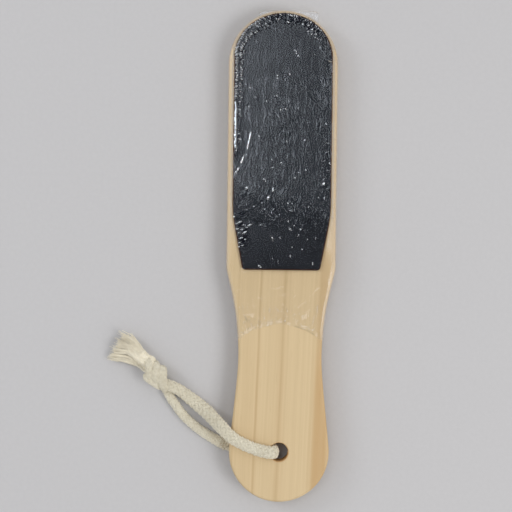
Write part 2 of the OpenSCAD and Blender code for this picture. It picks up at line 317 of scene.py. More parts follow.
def joined(pieces: list[bpy.types.Object]) -> bpy.types.Object:
    """Joins objects that have the same material.

    Args:
        pieces: The objects. The first one takes the others in.

    Returns:
        The first object.
    """
    first = pieces[0]
    bm = bmesh.new()
    for piece in pieces:
        bm.from_mesh(piece.data)
    for other in pieces[1:]:
        bpy.data.objects.remove(other)
    for face in bm.faces:
        face.smooth = True
    bm.to_mesh(first.data)
    bm.free()
    return first


# Finishes


@dataclass(frozen=True)
class PineFinish:
    """Sanded pale softwood with straight grain along the paddle, and a hole whose rim is darkened by scorch
    and painted shade.

    The colours are those of early wood, late wood, resinous bands and the hole's rim, whose brown is scorch
    and painted shade together. The patterns' densities are counted across, along and through the board.
    """

    pale: Colour = (0.690, 0.530, 0.313)
    late: Colour = (0.47, 0.315, 0.155)
    amber: Colour = (0.565, 0.36, 0.165)
    scorch_and_shade: Colour = (0.58, 0.33, 0.13)
    grain_slope: float = 0.031
    ring_tilt: float = 0.42
    wander: float = 0.0010
    face_z: float = 0.0115
    half_width: float = 0.030
    warm_y: Size = (-0.068, -0.030)
    lines_per_m: Triple = (620, 2.2, 60)
    fibres_per_m: Triple = (2300, 34, 700)
    pores_per_m: Triple = (2100, 130, 900)
    patches_per_m: Triple = (40, 9, 40)
    relief: float = 0.00005

    def material(self, hole_y: float, hole_r: float) -> bpy.types.Material:
        """Builds the wood.

        Args:
            hole_y: Place of the hole's middle along the paddle.
            hole_r: Radius of the hole.

        Returns:
            The material.
        """
        t = new_tree("sanded_pine")
        x, y, z = t.split(t.place())
        drift = t.grainy(t.stretched(t.place(), (6, 5, 6)), 4.0) - 0.5
        across = x - y * self.grain_slope + (z - self.face_z) * self.ring_tilt + drift * self.wander
        share = (across / (2 * self.half_width) + 0.5).clamped()
        late, warm, _ = t.split(t.add("ShaderNodeValToRGB", {"stops": self._stops()}, {"Fac": share}))
        board = t.joined(across, y, z)
        lines = t.grainy(t.stretched(board, self.lines_per_m), 1.0, 3.0, 0.62)
        fibres = t.grainy(t.stretched(board, self.fibres_per_m), 1.0, 2.0, 0.6)
        pores = t.step(t.grainy(t.stretched(board, self.pores_per_m), 1.0, 1.0), 0.68, 0.78)
        patches = t.grainy(t.stretched(t.place(), self.patches_per_m, (2, 5, 1)), 1.0, 2.0)
        lateness = late * 0.62 + (lines - 0.5) * 0.52 + (fibres - 0.5) * 0.30 + pores * 0.12
        colour = t.mixed((lateness + 0.06).clamped(), self.pale, self.late)
        warm = warm * t.step(y, *self.warm_y, 1.0, 0.25)
        colour = t.mixed((warm * 0.72 + (patches - 0.5) * 0.22).clamped(), colour, self.amber)
        # Scorch and painted shade: the wood turns a darker brown near the hole's rim.
        reach = ((x * x + (y - hole_y) * (y - hole_y)).call("SQRT") - hole_r) / hole_r
        burn_and_shade = t.step(reach + (lines - 0.5) * 0.06, 0.01, 0.12, 1.0, 0.0)
        colour = t.mixed(burn_and_shade * 0.92, colour, self.scorch_and_shade)
        height = fibres * 0.5 + lines * 0.6 - pores * 0.6
        bumps = t.bumped(height, self.relief)
        t.finish(t.surface(colour, 0.52 + fibres * 0.2, bumps, Specular_IOR_Level=0.35))
        return t.owner

    @staticmethod
    def _stops() -> list[tuple[float, Colour]]:
        """Place, lateness and warmth across the board, from its left edge to its right one.

        Returns:
            Place of each stop, with the lateness and the warmth as a colour's first two numbers.
        """
        stops = [
            (0.00, 0.30, 0.35), (0.06, 0.15, 0.20), (0.14, 0.05, 0.08), (0.155, 0.38, 0.15),
            (0.168, 0.06, 0.05), (0.25, 0.14, 0.03), (0.325, 0.10, 0.05), (0.338, 0.85, 0.25),
            (0.354, 0.14, 0.05), (0.41, 0.02, 0.00), (0.47, 0.12, 0.02), (0.520, 0.20, 0.05),
            (0.541, 0.74, 0.15), (0.566, 0.14, 0.05), (0.62, 0.02, 0.00), (0.69, 0.14, 0.03),
            (0.72, 0.00, 0.00), (0.79, 0.00, 0.00), (0.805, 0.22, 0.10), (0.822, 0.06, 0.10),
            (0.846, 0.42, 0.85), (0.876, 0.66, 1.00), (0.905, 0.34, 0.80), (0.93, 0.58, 1.00),
            (0.955, 0.25, 0.55), (1.00, 0.20, 0.35),
        ]
        return [(place, (late, warm, 0)) for place, late, warm in stops]


@dataclass(frozen=True)
class GritFinish:
    """Dark mineral grit, with a painted dark brown shadow line along the sheet's cut edge.

    The bond lies between grains of that size and height. The painted shadow line ends between the two
    distances from the edge in the shade band, which strays by ragged.
    """

    name: str
    bond: Colour
    grain: Colour
    size: float
    height: float
    edge_shade: Colour = (0.045, 0.018, 0.010)
    shade_band: Size = (0.00045, 0.00085)
    ragged: float = 0.0003

    def material(self, rim: Callable[[Nodes], Wire]) -> bpy.types.Material:
        """Builds the grit.

        Args:
            rim: Gives the distance from the sheet's edge, in metres.

        Returns:
            The material.
        """
        t = new_tree(self.name)
        place = t.place()
        grains = t.cells(place, 1 / self.size)
        tone = t.split(t.cells(place, 1 / self.size, "Color"))[0]
        patches = t.grainy(t.stretched(place, (1, 0.5, 1)), 420.0, 3.0, 0.6)
        worn = t.grainy(place, 45.0, 2.0)
        share = (tone * 0.5 + (patches - 0.5) * 0.9 + (worn - 0.5) * 0.3 + 0.16).clamped()
        colour = t.mixed(share, self.bond, self.grain)
        # Painted shadow: a dark brown line just inside the sheet's cut edge.
        inwards = rim(t) + (patches - 0.5) * self.ragged
        colour = t.mixed(t.step(inwards, *self.shade_band, 1.0, 0.0), colour, self.edge_shade)
        height = 1 - grains * 1.4 + tone * 0.5 + patches * 0.5
        t.finish(t.surface(colour, 0.9, t.bumped(height, self.height), Specular_IOR_Level=0.16))
        return t.owner


@dataclass(frozen=True)
class GlueFinish:
    """Dried contact adhesive, yellowish, darker where it lies thick and a little uneven."""

    thin: Colour = (0.50, 0.42, 0.26)
    thick: Colour = (0.34, 0.24, 0.12)
    relief: float = 0.0001

    def material(self) -> bpy.types.Material:
        """Builds the adhesive.

        Returns:
            The material.
        """
        t = new_tree("dried_glue")
        lumps = t.grainy(t.place(), 380.0, 3.0)
        colour = t.mixed(t.step(lumps, 0.3, 0.7), self.thin, self.thick)
        t.finish(t.surface(colour, 0.3 + lumps * 0.3, t.bumped(lumps, self.relief)))
        return t.owner


@dataclass(frozen=True)
class CreaseMap:
    """Where the film is finely creased: the sheet's round end, its edges and a low slanting band.

    Places are in metres in the frame, and the arc is in shares of the round end. Each pair is where a
    change starts and ends.
    """

    end_y: float = 0.1009
    end_l: float = 0.0226
    half_w: float = 0.0250
    arc: Size = (0.74, 0.88)
    arc_y: Size = (0.100, 0.104)
    left_x: Size = (-0.0235, -0.0190)
    left_y: Size = (0.045, 0.055)
    low_y: Size = (0.010, 0.020)
    low_end: Size = (0.026, 0.034)
    low_slant: float = 0.25
    right_x: Size = (0.0175, 0.0215)
    right_y: Size = (0.030, 0.040)
    foot_y: Size = (0.006, 0.024)
    head_y: Size = (0.082, 0.098)

    def busy(self, t: Nodes, x: Wire, y: Wire) -> Wire:
        """How much the film is creased at a place.

        Args:
            t: The tree that it is worked out in.
            x: Place across the head.
            y: Place along the paddle.

        Returns:
            A share, one where the creases are closest.
        """
        along = (y - self.end_y) / self.end_l
        out = ((x / self.half_w) ** 2.0 + along * along).call("SQRT")
        arc = t.step(out, *self.arc) * t.step(y, *self.arc_y)
        left = t.step(x, *self.left_x, 1.0, 0.0) * t.step(y, *self.left_y)
        band = y + x * self.low_slant
        low = t.step(band, *self.low_y) * t.step(band, *self.low_end, 1.0, 0.0) * 0.6
        right = t.step(x, *self.right_x) * t.step(y, *self.right_y) * 0.5
        return arc.call("MAXIMUM", left).call("MAXIMUM", low).call("MAXIMUM", right)

    def calm(self, t: Nodes, y: Wire) -> Wire:
        """The share of the creases that is left towards the sheet's two ends."""
        return t.step(y, *self.foot_y, 0.35, 1.0) * t.step(y, *self.head_y, 1.0, 0.55)


@dataclass(frozen=True)
class FilmFinish:
    """Clear glossy film: a thin mirror coat over nothing, stronger where the film is creased.

    The smooth film throws back the share in clear. Creases and a grazing view add to it. Round a rim
    the film is hazy, and warm instead of tinted. The fine creases are as high as crinkle and stray by
    sway. The densities are those of long creases, of the finest ones and of dots that catch the light.
    """

    name: str = "shrink_film_gloss"
    clear: float = 0.040
    creased: float = 0.062
    grazing: float = 0.08
    rough: float = 0.14
    crinkle: float = 0.00010
    hazy: float = 0.50
    tint: Colour = (0.90, 0.95, 1.0)
    warm: Colour = (1.0, 0.94, 0.84)
    sway: float = 0.0030
    streaks_per_m: Triple = (1150, 220, 900)
    fines_per_m: Triple = (2100, 1300, 1500)
    dots_per_m: float = 420.0
    creases: CreaseMap = CreaseMap()

    def material(self) -> bpy.types.Material:
        """Builds the film.

        Returns:
            The material.
        """
        t = new_tree(self.name)
        place = t.place()
        drift = t.add("ShaderNodeTexNoise", {}, {"Vector": place, "Scale": 190.0, "Detail": 1.0}, "Color")
        swayed = {0: drift, 1: (self.sway, self.sway, 0), 2: place}
        bent = t.add("ShaderNodeVectorMath", {"operation": "MULTIPLY_ADD"}, swayed)
        x, y, _ = t.split(place)
        busy, calm = self.creases.busy(t, x, y), self.creases.calm(t, y)
        streaks = t.grainy(t.stretched(bent, self.streaks_per_m), 1.0, 2.0, 0.55)
        fine = t.grainy(t.stretched(bent, self.fines_per_m, (4, 3, 1)), 1.0, 1.0)
        cell = t.stretched(bent, (1, 0.62, 1), (0.3, 0.2, 0))
        lucky = t.step(t.split(t.cells(cell, self.dots_per_m, "Color"))[0], 0.84, 0.90)
        dots = t.step(t.cells(cell, self.dots_per_m), 0.02, 0.36, 1.0, 0.0) * lucky
        height = (streaks * 0.9 + fine * 0.16 + dots * 1.5) * (busy * 1.8 + 0.6) * calm
        lift = t.step(streaks, 0.52, 0.68) * calm
        edge = t.add("ShaderNodeLayerWeight", {}, {"Blend": 0.5}, "Facing")
        level = t.split(t.add("ShaderNodeNewGeometry", {}, {}, "Normal"))[2].call("ABSOLUTE")
        steep = t.step(level, 0.72, 0.98, 1.0, 0.0)
        turned = t.step(level, 0.90, 0.995, 1.0, 0.0) * self.hazy
        share = self.clear + (lift + dots) * self.creased + edge * self.grazing + steep * self.hazy * 0.5
        hue = t.mixed(steep, self.tint, self.warm)
        coat = t.surface(hue, turned * 0.8 + self.rough, t.bumped(height, self.crinkle), Metallic=1.0)
        clear = t.add("ShaderNodeBsdfTransparent", {}, {"Color": (0.995, 0.997, 1.0, 1)})
        t.finish(t.add("ShaderNodeMixShader", {}, {0: share.clamped(), 1: clear, 2: coat}))
        return t.owner


@dataclass(frozen=True)
class CottonFinish:
    """Unbleached cotton yarn: matt, with a soft sheen from its fuzz, and darker in random patches."""

    name: str = "cotton_braid"
    light: Colour = (0.80, 0.755, 0.625)
    shade: Colour = (0.56, 0.495, 0.36)
    fuzz: float = 0.25
    relief: float = 0.00018

    def material(self) -> bpy.types.Material:
        """Builds the yarn.

        Returns:
            The material.
        """
        t = new_tree(self.name)
        place = t.place()
        hairs = t.grainy(place, 2600.0, 2.0, 0.6)
        clumps = t.grainy(place, 520.0, 2.0)
        soil = t.grainy(place, 70.0, 3.0, 0.6)
        shade = ((hairs - 0.5) * 0.8 + (clumps - 0.5) * 0.7 + (soil - 0.42) * 0.8 + 0.20).clamped()
        colour = t.mixed(shade, self.light, self.shade)
        t.finish(t.surface(
            colour, 0.93, t.bumped(hairs * 0.6 + clumps, self.relief), Sheen_Weight=self.fuzz,
            Sheen_Roughness=0.5, Sheen_Tint=(1.0, 0.97, 0.9, 1), Specular_IOR_Level=0.12,
        ))
        return t.owner


# Cord


@dataclass
class CordPlan:
    """Where the cord lies, from the middle of the hole at floor level, in millimetres.

    Attributes:
        hole_y: Place of the hole along the paddle.
        width: Width of the flat braided cord.
        thickness: Thickness of the cord.
        knot_at: Middle of the knot on the surface.
        knot_turn: Direction in which the cord runs through the knot, in degrees.
        knot_l: Length of the knot along the cord.
        knot_w: Size of the knot across the cord.
        knot_h: Height of the knot.
        knot_skew: How far the knot's middle shifts across per length along it.
        pressed: Thickness left where the handle presses the cord, as a share.
    """

    hole_y: float = -99.6
    width: float = 6.8
    thickness: float = 4.8
    knot_at: tuple[float, float] = (-63.1, 38.7)
    knot_turn: float = 160.0
    knot_l: float = 12.6
    knot_w: float = 12.0
    knot_h: float = 11.4
    knot_skew: float = -0.26
    pressed: float = 0.54

    def on_knot(self, along: float, across: float, up: float) -> Vector:
        """A place on the knot.

        Args:
            along: Distance along the cord from the knot's middle.
            across: Distance to its left.
            up: Height.

        Returns:
            The point, from the hole's middle.
        """
        forth = self.knot_dir
        side = Vector((-forth.y, forth.x, 0))
        return Vector((*self.knot_at, 0)) + forth * along + side * across + Vector((0, 0, up))

    @property
    def knot_dir(self) -> Vector:
        """Direction of the cord through the knot."""
        turn = math.radians(self.knot_turn)
        return Vector((math.cos(turn), math.sin(turn), 0))

    def to_world(self, point: Sequence[float]) -> Vector:
        """A point of the plan, in metres in the frame."""
        return Vector((point[0], point[1] + self.hole_y, point[2])) * MM

    def front_route(self) -> list[Vector]:
        """Points of the leg that leaves the hole upwards.

        Returns:
            The points, in metres in the frame.
        """
        points = [
            (-2, 0, 7.2), (-2, 0, 9), (-2.1, 0, 10.7), (-2.6, 0, 12.5), (-3.9, 0.1, 13.8), (-5.7, 0.4, 14.3),
            (-9.5, 1.2, 14.3), (-14, 2.6, 14.3), (-19, 4.8, 14.3), (-23, 7, 14.2), (-25.6, 9, 14),
            (-28.5, 11.8, 13), (-31.7, 14.7, 10.6), (-35.9, 18.5, 6.8), (-40.9, 22.3, 3.8),
            (-45.7, 25.9, 2.6), (-50, 29.2, 3.2), (-54, 31.7, 5.4),
        ]
        return [self.to_world(p) for p in [*points, self.on_knot(-self.knot_l / 2, 3.4, 7.3)]]

    def rear_route(self) -> list[Vector]:
        """Points of the leg that leaves the hole downwards.

        Returns:
            The points, in metres in the frame.
        """
        points = [
            (-2, 0, 7.2), (-2, 0, 5.4), (-2.1, 0, 4), (-2.7, 0, 2.7), (-3.9, 0.1, 1.7), (-5.8, 0.3, 1.3),
            (-10, 0.6, 1.3), (-15, 1, 1.3), (-20, 1.4, 1.3), (-25, 1.9, 1.3), (-27.5, 2.5, 1.6),
            (-30.5, 3.7, 2.1), (-36.5, 7, 2.4), (-42, 10.6, 2.4), (-47, 14.8, 2.4), (-50.5, 18.6, 2.4),
            (-53.3, 22.4, 2.4), (-56, 26.2, 2.4),
        ]
        return [self.to_world(p) for p in [*points, self.on_knot(-self.knot_l / 2, 5.2, 2.5)]]

    def upper_route(self) -> list[Vector]:
        """Points of the tail that flares into a brush."""
        points = [(-71.4, 48, 6.8), (-75.5, 52.1, 4.8), (-79.6, 55.2, 3.2), (-82.6, 57.2, 2.7)]
        return [self.to_world(p) for p in [self.on_knot(self.knot_l / 2, -4.4, 7.2), *points]]

    def lower_route(self) -> list[Vector]:
        """Points of the thinner tail."""
        points = [(-72, 43.8, 2.5), (-76.4, 45.3, 2.4), (-82.5, 47, 2.3), (-88.6, 47.1, 2.1)]
        return [self.to_world(p) for p in [self.on_knot(self.knot_l / 2, -0.8, 2.9), *points]]

    def sizes(self, shares: Sequence[Size]) -> list[Size]:
        """Widths and thicknesses in metres, from shares of the cord's own."""
        return [(w * self.width * MM, t * self.thickness * MM) for w, t in shares]

    def front_sizes(self) -> list[Size]:
        """Width and thickness at each point of the front leg.

        Returns:
            The sizes, in metres.
        """
        return self.sizes([
            (1, 0.95), (1, 0.95), (1, 0.95), (1, 0.95), (1, 0.96), (1, 0.98), (0.99, 0.98), (0.95, 0.98),
            (0.95, 0.98), (0.98, 0.98), (1, 0.98), (1.04, 0.98), (1.08, 0.98), (1.12, 0.98), (1.12, 1),
            (1.02, 1), (0.94, 1), (0.92, 1), (0.95, 0.95),
        ])

    def rear_sizes(self) -> list[Size]:
        """Width and thickness at each point of the rear leg.

        Returns:
            The sizes, in metres.
        """
        flat = self.pressed
        return self.sizes([
            (1, 0.95), (1, 0.9), (1, 0.85), (1, 0.74), (1.02, 0.6), (1.06, flat), (1.1, flat), (1.1, flat),
            (1.1, flat), (1.08, flat), (1.02, 0.63), (0.9, 0.85), (0.82, 0.98), (0.78, 0.98), (0.76, 0.98),
            (0.75, 0.98), (0.75, 0.98), (0.76, 0.98), (0.8, 0.95),
        ])

    def upper_sizes(self) -> list[Size]:
        """Width and thickness at each point of the upper tail."""
        return self.sizes([(0.88, 0.95), (0.98, 0.92), (1.2, 0.85), (1.42, 0.8), (1.5, 0.7)])

    def lower_sizes(self) -> list[Size]:
        """Width and thickness at each point of the lower tail."""
        return self.sizes([(0.8, 0.9), (0.76, 0.9), (0.72, 0.9), (0.7, 0.85), (0.5, 0.7)])


THINNEST = 0.0001
OVAL_STEPS = 72
OVAL_RIMS: dict[float, list[float]] = {}


@dataclass
class Station:
    """One place along a cord: its middle, the directions and sizes of its oval, and its run.

    The run is the distance from the cord's start.
    """

    at: Vector
    across: Vector
    up: Vector
    width: float
    thickness: float
    run: float

    def on_oval(self, turn: float, inset: float, rise: float = 0.0) -> Vector:
        """A point on the cord's oval.

        Args:
            turn: Share of a turn along the oval's rim, from the across direction towards up.
            inset: Distance that the point stays inside the rim.
            rise: Distance that it stands out from there.

        Returns:
            The point.
        """
        a, b = max(self.width / 2 - inset, THINNEST), max(self.thickness / 2 - inset, THINNEST)
        angle = even_angle(turn, a / b)
        c, s = math.cos(angle), math.sin(angle)
        outward = (self.across * (c / a) + self.up * (s / b)).normalized()
        return self.at + self.across * (a * c) + self.up * (b * s) + outward * rise


def even_angle(turn: float, flatness: float) -> float:
    """The angle at which an oval's rim is run through by that share of a turn.

    Args:
        turn: Share of a turn, of any size.
        flatness: The oval's width over its thickness.

    Returns:
        The angle in the oval's own measure, so that equal shares are equal lengths.
    """
    flatness = round(flatness, 1)
    if flatness not in OVAL_RIMS:
        table = [0.0]
        for k in range(OVAL_STEPS):
            angle = 2 * math.pi * (k + 0.5) / OVAL_STEPS
            table.append(table[-1] + math.hypot(flatness * math.sin(angle), math.cos(angle)))
        OVAL_RIMS[flatness] = table
    table = OVAL_RIMS[flatness]
    whole = math.floor(turn)
    goal = (turn - whole) * table[-1]
    low, high = 0, OVAL_STEPS
    while high - low > 1:
        middle = (low + high) // 2
        low, high = (middle, high) if table[middle] <= goal else (low, middle)
    share = (goal - table[low]) / (table[high] - table[low])
    return 2 * math.pi * (whole + (low + share) / OVAL_STEPS)


class Route:
    """A smooth line through a cord's points, with the cord's sizes along it."""

    STEEP = 0.1

    def __init__(
        self, points: Sequence[Vector], sizes: Sequence[Size], step: float,
        outward: Optional[Callable[[Vector], Vector]] = None,
    ) -> None:
        """Samples the line.

        Args:
            points: The points that it goes through.
            sizes: Width and thickness at each point.
            step: Distance between two samples.
            outward: Gives the direction of the thickness at a place. Without it the width lies level.
        """
        line, bulk = self._line(points, sizes, step)
        self.stations: list[Station] = []
        run = 0.0
        for i, at in enumerate(line):
            if i:
                run += (at - line[i - 1]).length
            ahead = (line[min(i + 1, len(line) - 1)] - line[max(i - 1, 0)]).normalized()
            if outward is not None:
                across = outward(at).cross(ahead).normalized()
            elif math.hypot(ahead.x, ahead.y) < self.STEEP:
                across = Vector((0, -1, 0))
            else:
                across = Vector((-ahead.y, ahead.x, 0)).normalized()
            self.stations.append(Station(at, across, ahead.cross(across).normalized(), *bulk[i], run))
        self.length = run

    @staticmethod
    def _line(points: Sequence[Vector], sizes: Sequence[Size], step: float) -> tuple[list, list]:
        """Runs a smooth line through the points.

        Args:
            points: The points that it goes through.
            sizes: Width and thickness at each point.
            step: Distance between two samples.

        Returns:
            The samples and their sizes.
        """
        slopes = []
        for i in range(len(points)):
            before, after = points[max(i - 1, 0)], points[min(i + 1, len(points) - 1)]
            slopes.append((after - before).normalized())
        line, bulk = [], []
        for i in range(len(points) - 1):
            a, b = points[i], points[i + 1]
            reach = (b - a).length / 3
            count = max(1, round(3 * reach / step))
            c, d = a + slopes[i] * reach, b - slopes[i + 1] * reach
            for k in range(count + (i == len(points) - 2)):
                s = k / count
                line.append(bezier(a, c, d, b, s))
                bulk.append(tuple(u + (v - u) * smooth_share(s) for u, v in zip(sizes[i], sizes[i + 1])))
        return line, bulk


class Threads:
    """Many thin tubes in one curve, which becomes one mesh."""

    def __init__(self, name: str, radius: float, roundness: int = 1) -> None:
        """Starts an empty curve.

        Args:
            name: The piece's name.
            radius: Radius of a tube whose share is one.
            roundness: How round the tubes are: 0 gives them four sides.
        """
        self.curve = bpy.data.curves.new(name, "CURVE")
        self.curve.dimensions = "3D"
        self.curve.bevel_depth = radius
        self.curve.bevel_resolution = roundness
        self.curve.use_fill_caps = True
        self.radius = radius

    def add(self, points: Sequence[Vector], shares: Sequence[float]) -> None:
        """Adds one tube, kept above the surface that the file lies on.

        Args:
            points: The points along it.
            shares: Its radius at each point, as a share.
        """
        spline = self.curve.splines.new("POLY")
        spline.points.add(len(points) - 1)
        for target, p, share in zip(spline.points, points, shares):
            target.co = (p.x, p.y, max(p.z, self.radius * share), 1)
            target.radius = share

    def to_piece(self, material: bpy.types.Material) -> bpy.types.Object:
        """Turns the curve into a mesh.

        Args:
            material: Its finish.

        Returns:
            The mesh's object.
        """
        name = self.curve.name
        holder = bpy.data.objects.new(name + "_line", self.curve)
        bpy.context.scene.collection.objects.link(holder)
        bpy.context.view_layer.update()
        mesh = bpy.data.meshes.new_from_object(holder.evaluated_get(bpy.context.evaluated_depsgraph_get()))
        bpy.data.objects.remove(holder)
        bm = bmesh.new()
        bm.from_mesh(mesh)
        bpy.data.meshes.remove(mesh)
        return to_object(bm, name, material)


WAVES_PER_M = 420
SLOW_WAVES_PER_M = 110


@dataclass
class Braid:
    """A tubular braid of cotton strands, each of a few yarns side by side.

    Attributes:
        strands: Strands that turn each way.
        yarns: Yarns in a strand.
        yarn_r: Radius of a yarn.
        weave: How far a strand rises and dips at its crossings.
        crown: How far a strand's middle yarns stand above its outer ones.
        filled: Share of the room beside each other that the strands fill.
        pitch: Length of cord in which a strand goes round once.
        seed: Start of its small irregularities.
    """

    strands: int = 6
    yarns: int = 3
    yarn_r: float = 0.00036
    weave: float = 0.00033
    crown: float = 0.00028
    filled: float = 0.87
    pitch: float = 0.0180
    seed: int = 1

    def plait(self, threads: Threads, route: Route) -> None:
        """Adds every yarn of the braid.

        Args:
            threads: Where the yarns go.
            route: The line that the braid follows.
        """
        chance = random.Random(self.seed)
        inset = self.yarn_r + self.weave
        for lay in Lay:
            for strand in range(self.strands):
                slack = chance.uniform(-0.2, 0.2)
                for yarn in range(self.yarns):
                    off = (2 * yarn + 1) / self.yarns - 1
                    aside = off / 2 / self.strands * self.filled
                    own = Vector((0, strand * 3.1 + yarn, lay.value * 5.0 + self.seed))
                    line = []
                    for s in route.stations:
                        turn = strand / self.strands + lay.value * s.run / self.pitch
                        cross = math.cos(2 * math.pi * self.strands * turn) * lay.value
                        wave = noise.noise(own + Vector((s.run * WAVES_PER_M, 0, 0)))
                        rise = self.weave * (cross + 0.4 * wave + slack) - self.crown * off * off
                        line.append(s.on_oval(turn + aside + 0.006 * wave, inset, rise))
                    threads.add(line, [1.0] * len(line))


@dataclass
class Brush:
    """The frayed end of a tail: the braid's strands, opened into loose wavy yarns.

    Attributes:
        strands: Number of bundles.
        yarns: Yarns in a bundle.
        yarn_r: Radius of a yarn.
        spread: How far the bundles part at the end.
        crimp: Height of the waves that the braid has left in a yarn.
        opened: Share of the tail after which the bundles part.
        seed: Start of its irregularities.
        sag: How far the end sinks aside, in millimetres.
    """

    strands: int
    yarns: int
    yarn_r: float
    spread: float
    crimp: float
    opened: float
    seed: int
    sag: Size = (0.0, 0.0)

    def comb(self, threads: Threads, route: Route) -> None:
        """Adds every yarn of the brush.

        Args:
            threads: Where the yarns go.
            route: The tail's route.
        """
        chance = random.Random(self.seed)
        for strand in range(self.strands):
            turn = (strand + chance.uniform(-0.3, 0.3)) / self.strands
            depth = chance.choice((0.45, 0.8, 0.95))
            wild = Vector((chance.uniform(-1, 1), chance.uniform(-1, 1), chance.uniform(-0.3, 0.8)))
            reach = chance.uniform(0.86, 1.0)
            for _ in range(self.yarns):
                own = Vector((chance.gauss(0, 1), chance.gauss(0, 1), chance.gauss(0, 1)))
                self._yarn(threads, route, turn, depth, wild, own, reach * chance.uniform(0.88, 1.03))

    def _yarn(
        self, threads: Threads, route: Route, turn: float, depth: float, wild: Vector, own: Vector,
        end: float,
    ) -> None:
        """Adds one yarn of a bundle.

        Args:
            threads: Where the yarn goes.
            route: The tail's route.
            turn: Where on the tail's oval its bundle starts.
            depth: How far out its bundle lies.
            wild: Direction in which its bundle strays.
            own: Random vector of the yarn itself.
            end: Share of the route at which it ends.
        """
        line, shares = [], []
        for s in route.stations:
            share = s.run / route.length
            if share > end:
                break
            loose = smooth_share((share - self.opened) / (1 - self.opened))
            middle = s.at.lerp(s.on_oval(turn, self.yarn_r * 2), depth)
            bundle = own * self.yarn_r * (1.6 + 2.6 * loose)
            wave = noise.noise_vector(own * 9 + Vector((s.run * WAVES_PER_M, 0, 0))) * self.crimp
            slow = noise.noise_vector(own * 5 + Vector((s.run * SLOW_WAVES_PER_M, 3, 0)))
            stray = wild * self.spread + Vector((*self.sag, 0)) * MM
            slow = slow * self.spread * loose * 0.5
            line.append(middle + bundle + wave + slow + stray * loose * loose)
            shares.append(1.0 - 0.5 * smooth_share((share - end + 0.2) / 0.2))
        if len(line) > 3:
            threads.add(line, shares)


@dataclass
class Wrap:
    """The band of braid that goes round the knot, in millimetres and turns.

    It starts before the knot's top, moves along the knot by advance in a turn and leans by slant. Up to
    reach from the knot's waist, the first pinch draws its sides in and the second one raises its top.
    Its width changes by the share in swell.
    """

    width: float = 4.9
    thickness: float = 3.6
    turns: float = 2.8
    start: float = 0.4
    per_turn: int = 16
    advance: float = 4.0
    slant: float = 1.3
    reach: float = 3.0
    pinch: Size = (0.5, 0.25)
    swell: float = 0.10

    def line(self, plan: CordPlan) -> tuple[list[Vector], list[Size]]:
        """Where the band runs, side by side with itself.

        Args:
            plan: Where the cord lies.

        Returns:
            Points in metres, and the band's width and thickness at each.
        """
        line: list[Vector] = []
        sizes: list[Size] = []
        count = round(self.turns * self.per_turn)
        for k in range(count + 1):
            turn = k / self.per_turn - self.start
            angle = 2 * math.pi * turn + math.pi / 2
            c, s = math.cos(angle), math.sin(angle)
            along = self.advance * (turn - 1.0) - self.slant * c
            middle = max(0.0, 1 - abs(along) / self.reach)
            drawn = self.pinch[0] * middle * c**2 - self.pinch[1] * middle * max(0.0, s)
            side = (plan.knot_w / 2 - self.thickness / 2 - drawn) * c + plan.knot_skew * along
            rise = (plan.knot_h / 2 - self.thickness / 2 - drawn) * s
            line.append(plan.to_world(plan.on_knot(along, side, plan.knot_h / 2 + rise)))
            swell = 1 + self.swell * math.sin(2.3 * turn + 0.6)
            end = min(1.0, 0.55 + 0.18 * min(k, count - k))
            sizes.append((self.width * MM * swell * end, self.thickness * MM * end))
        return line, sizes


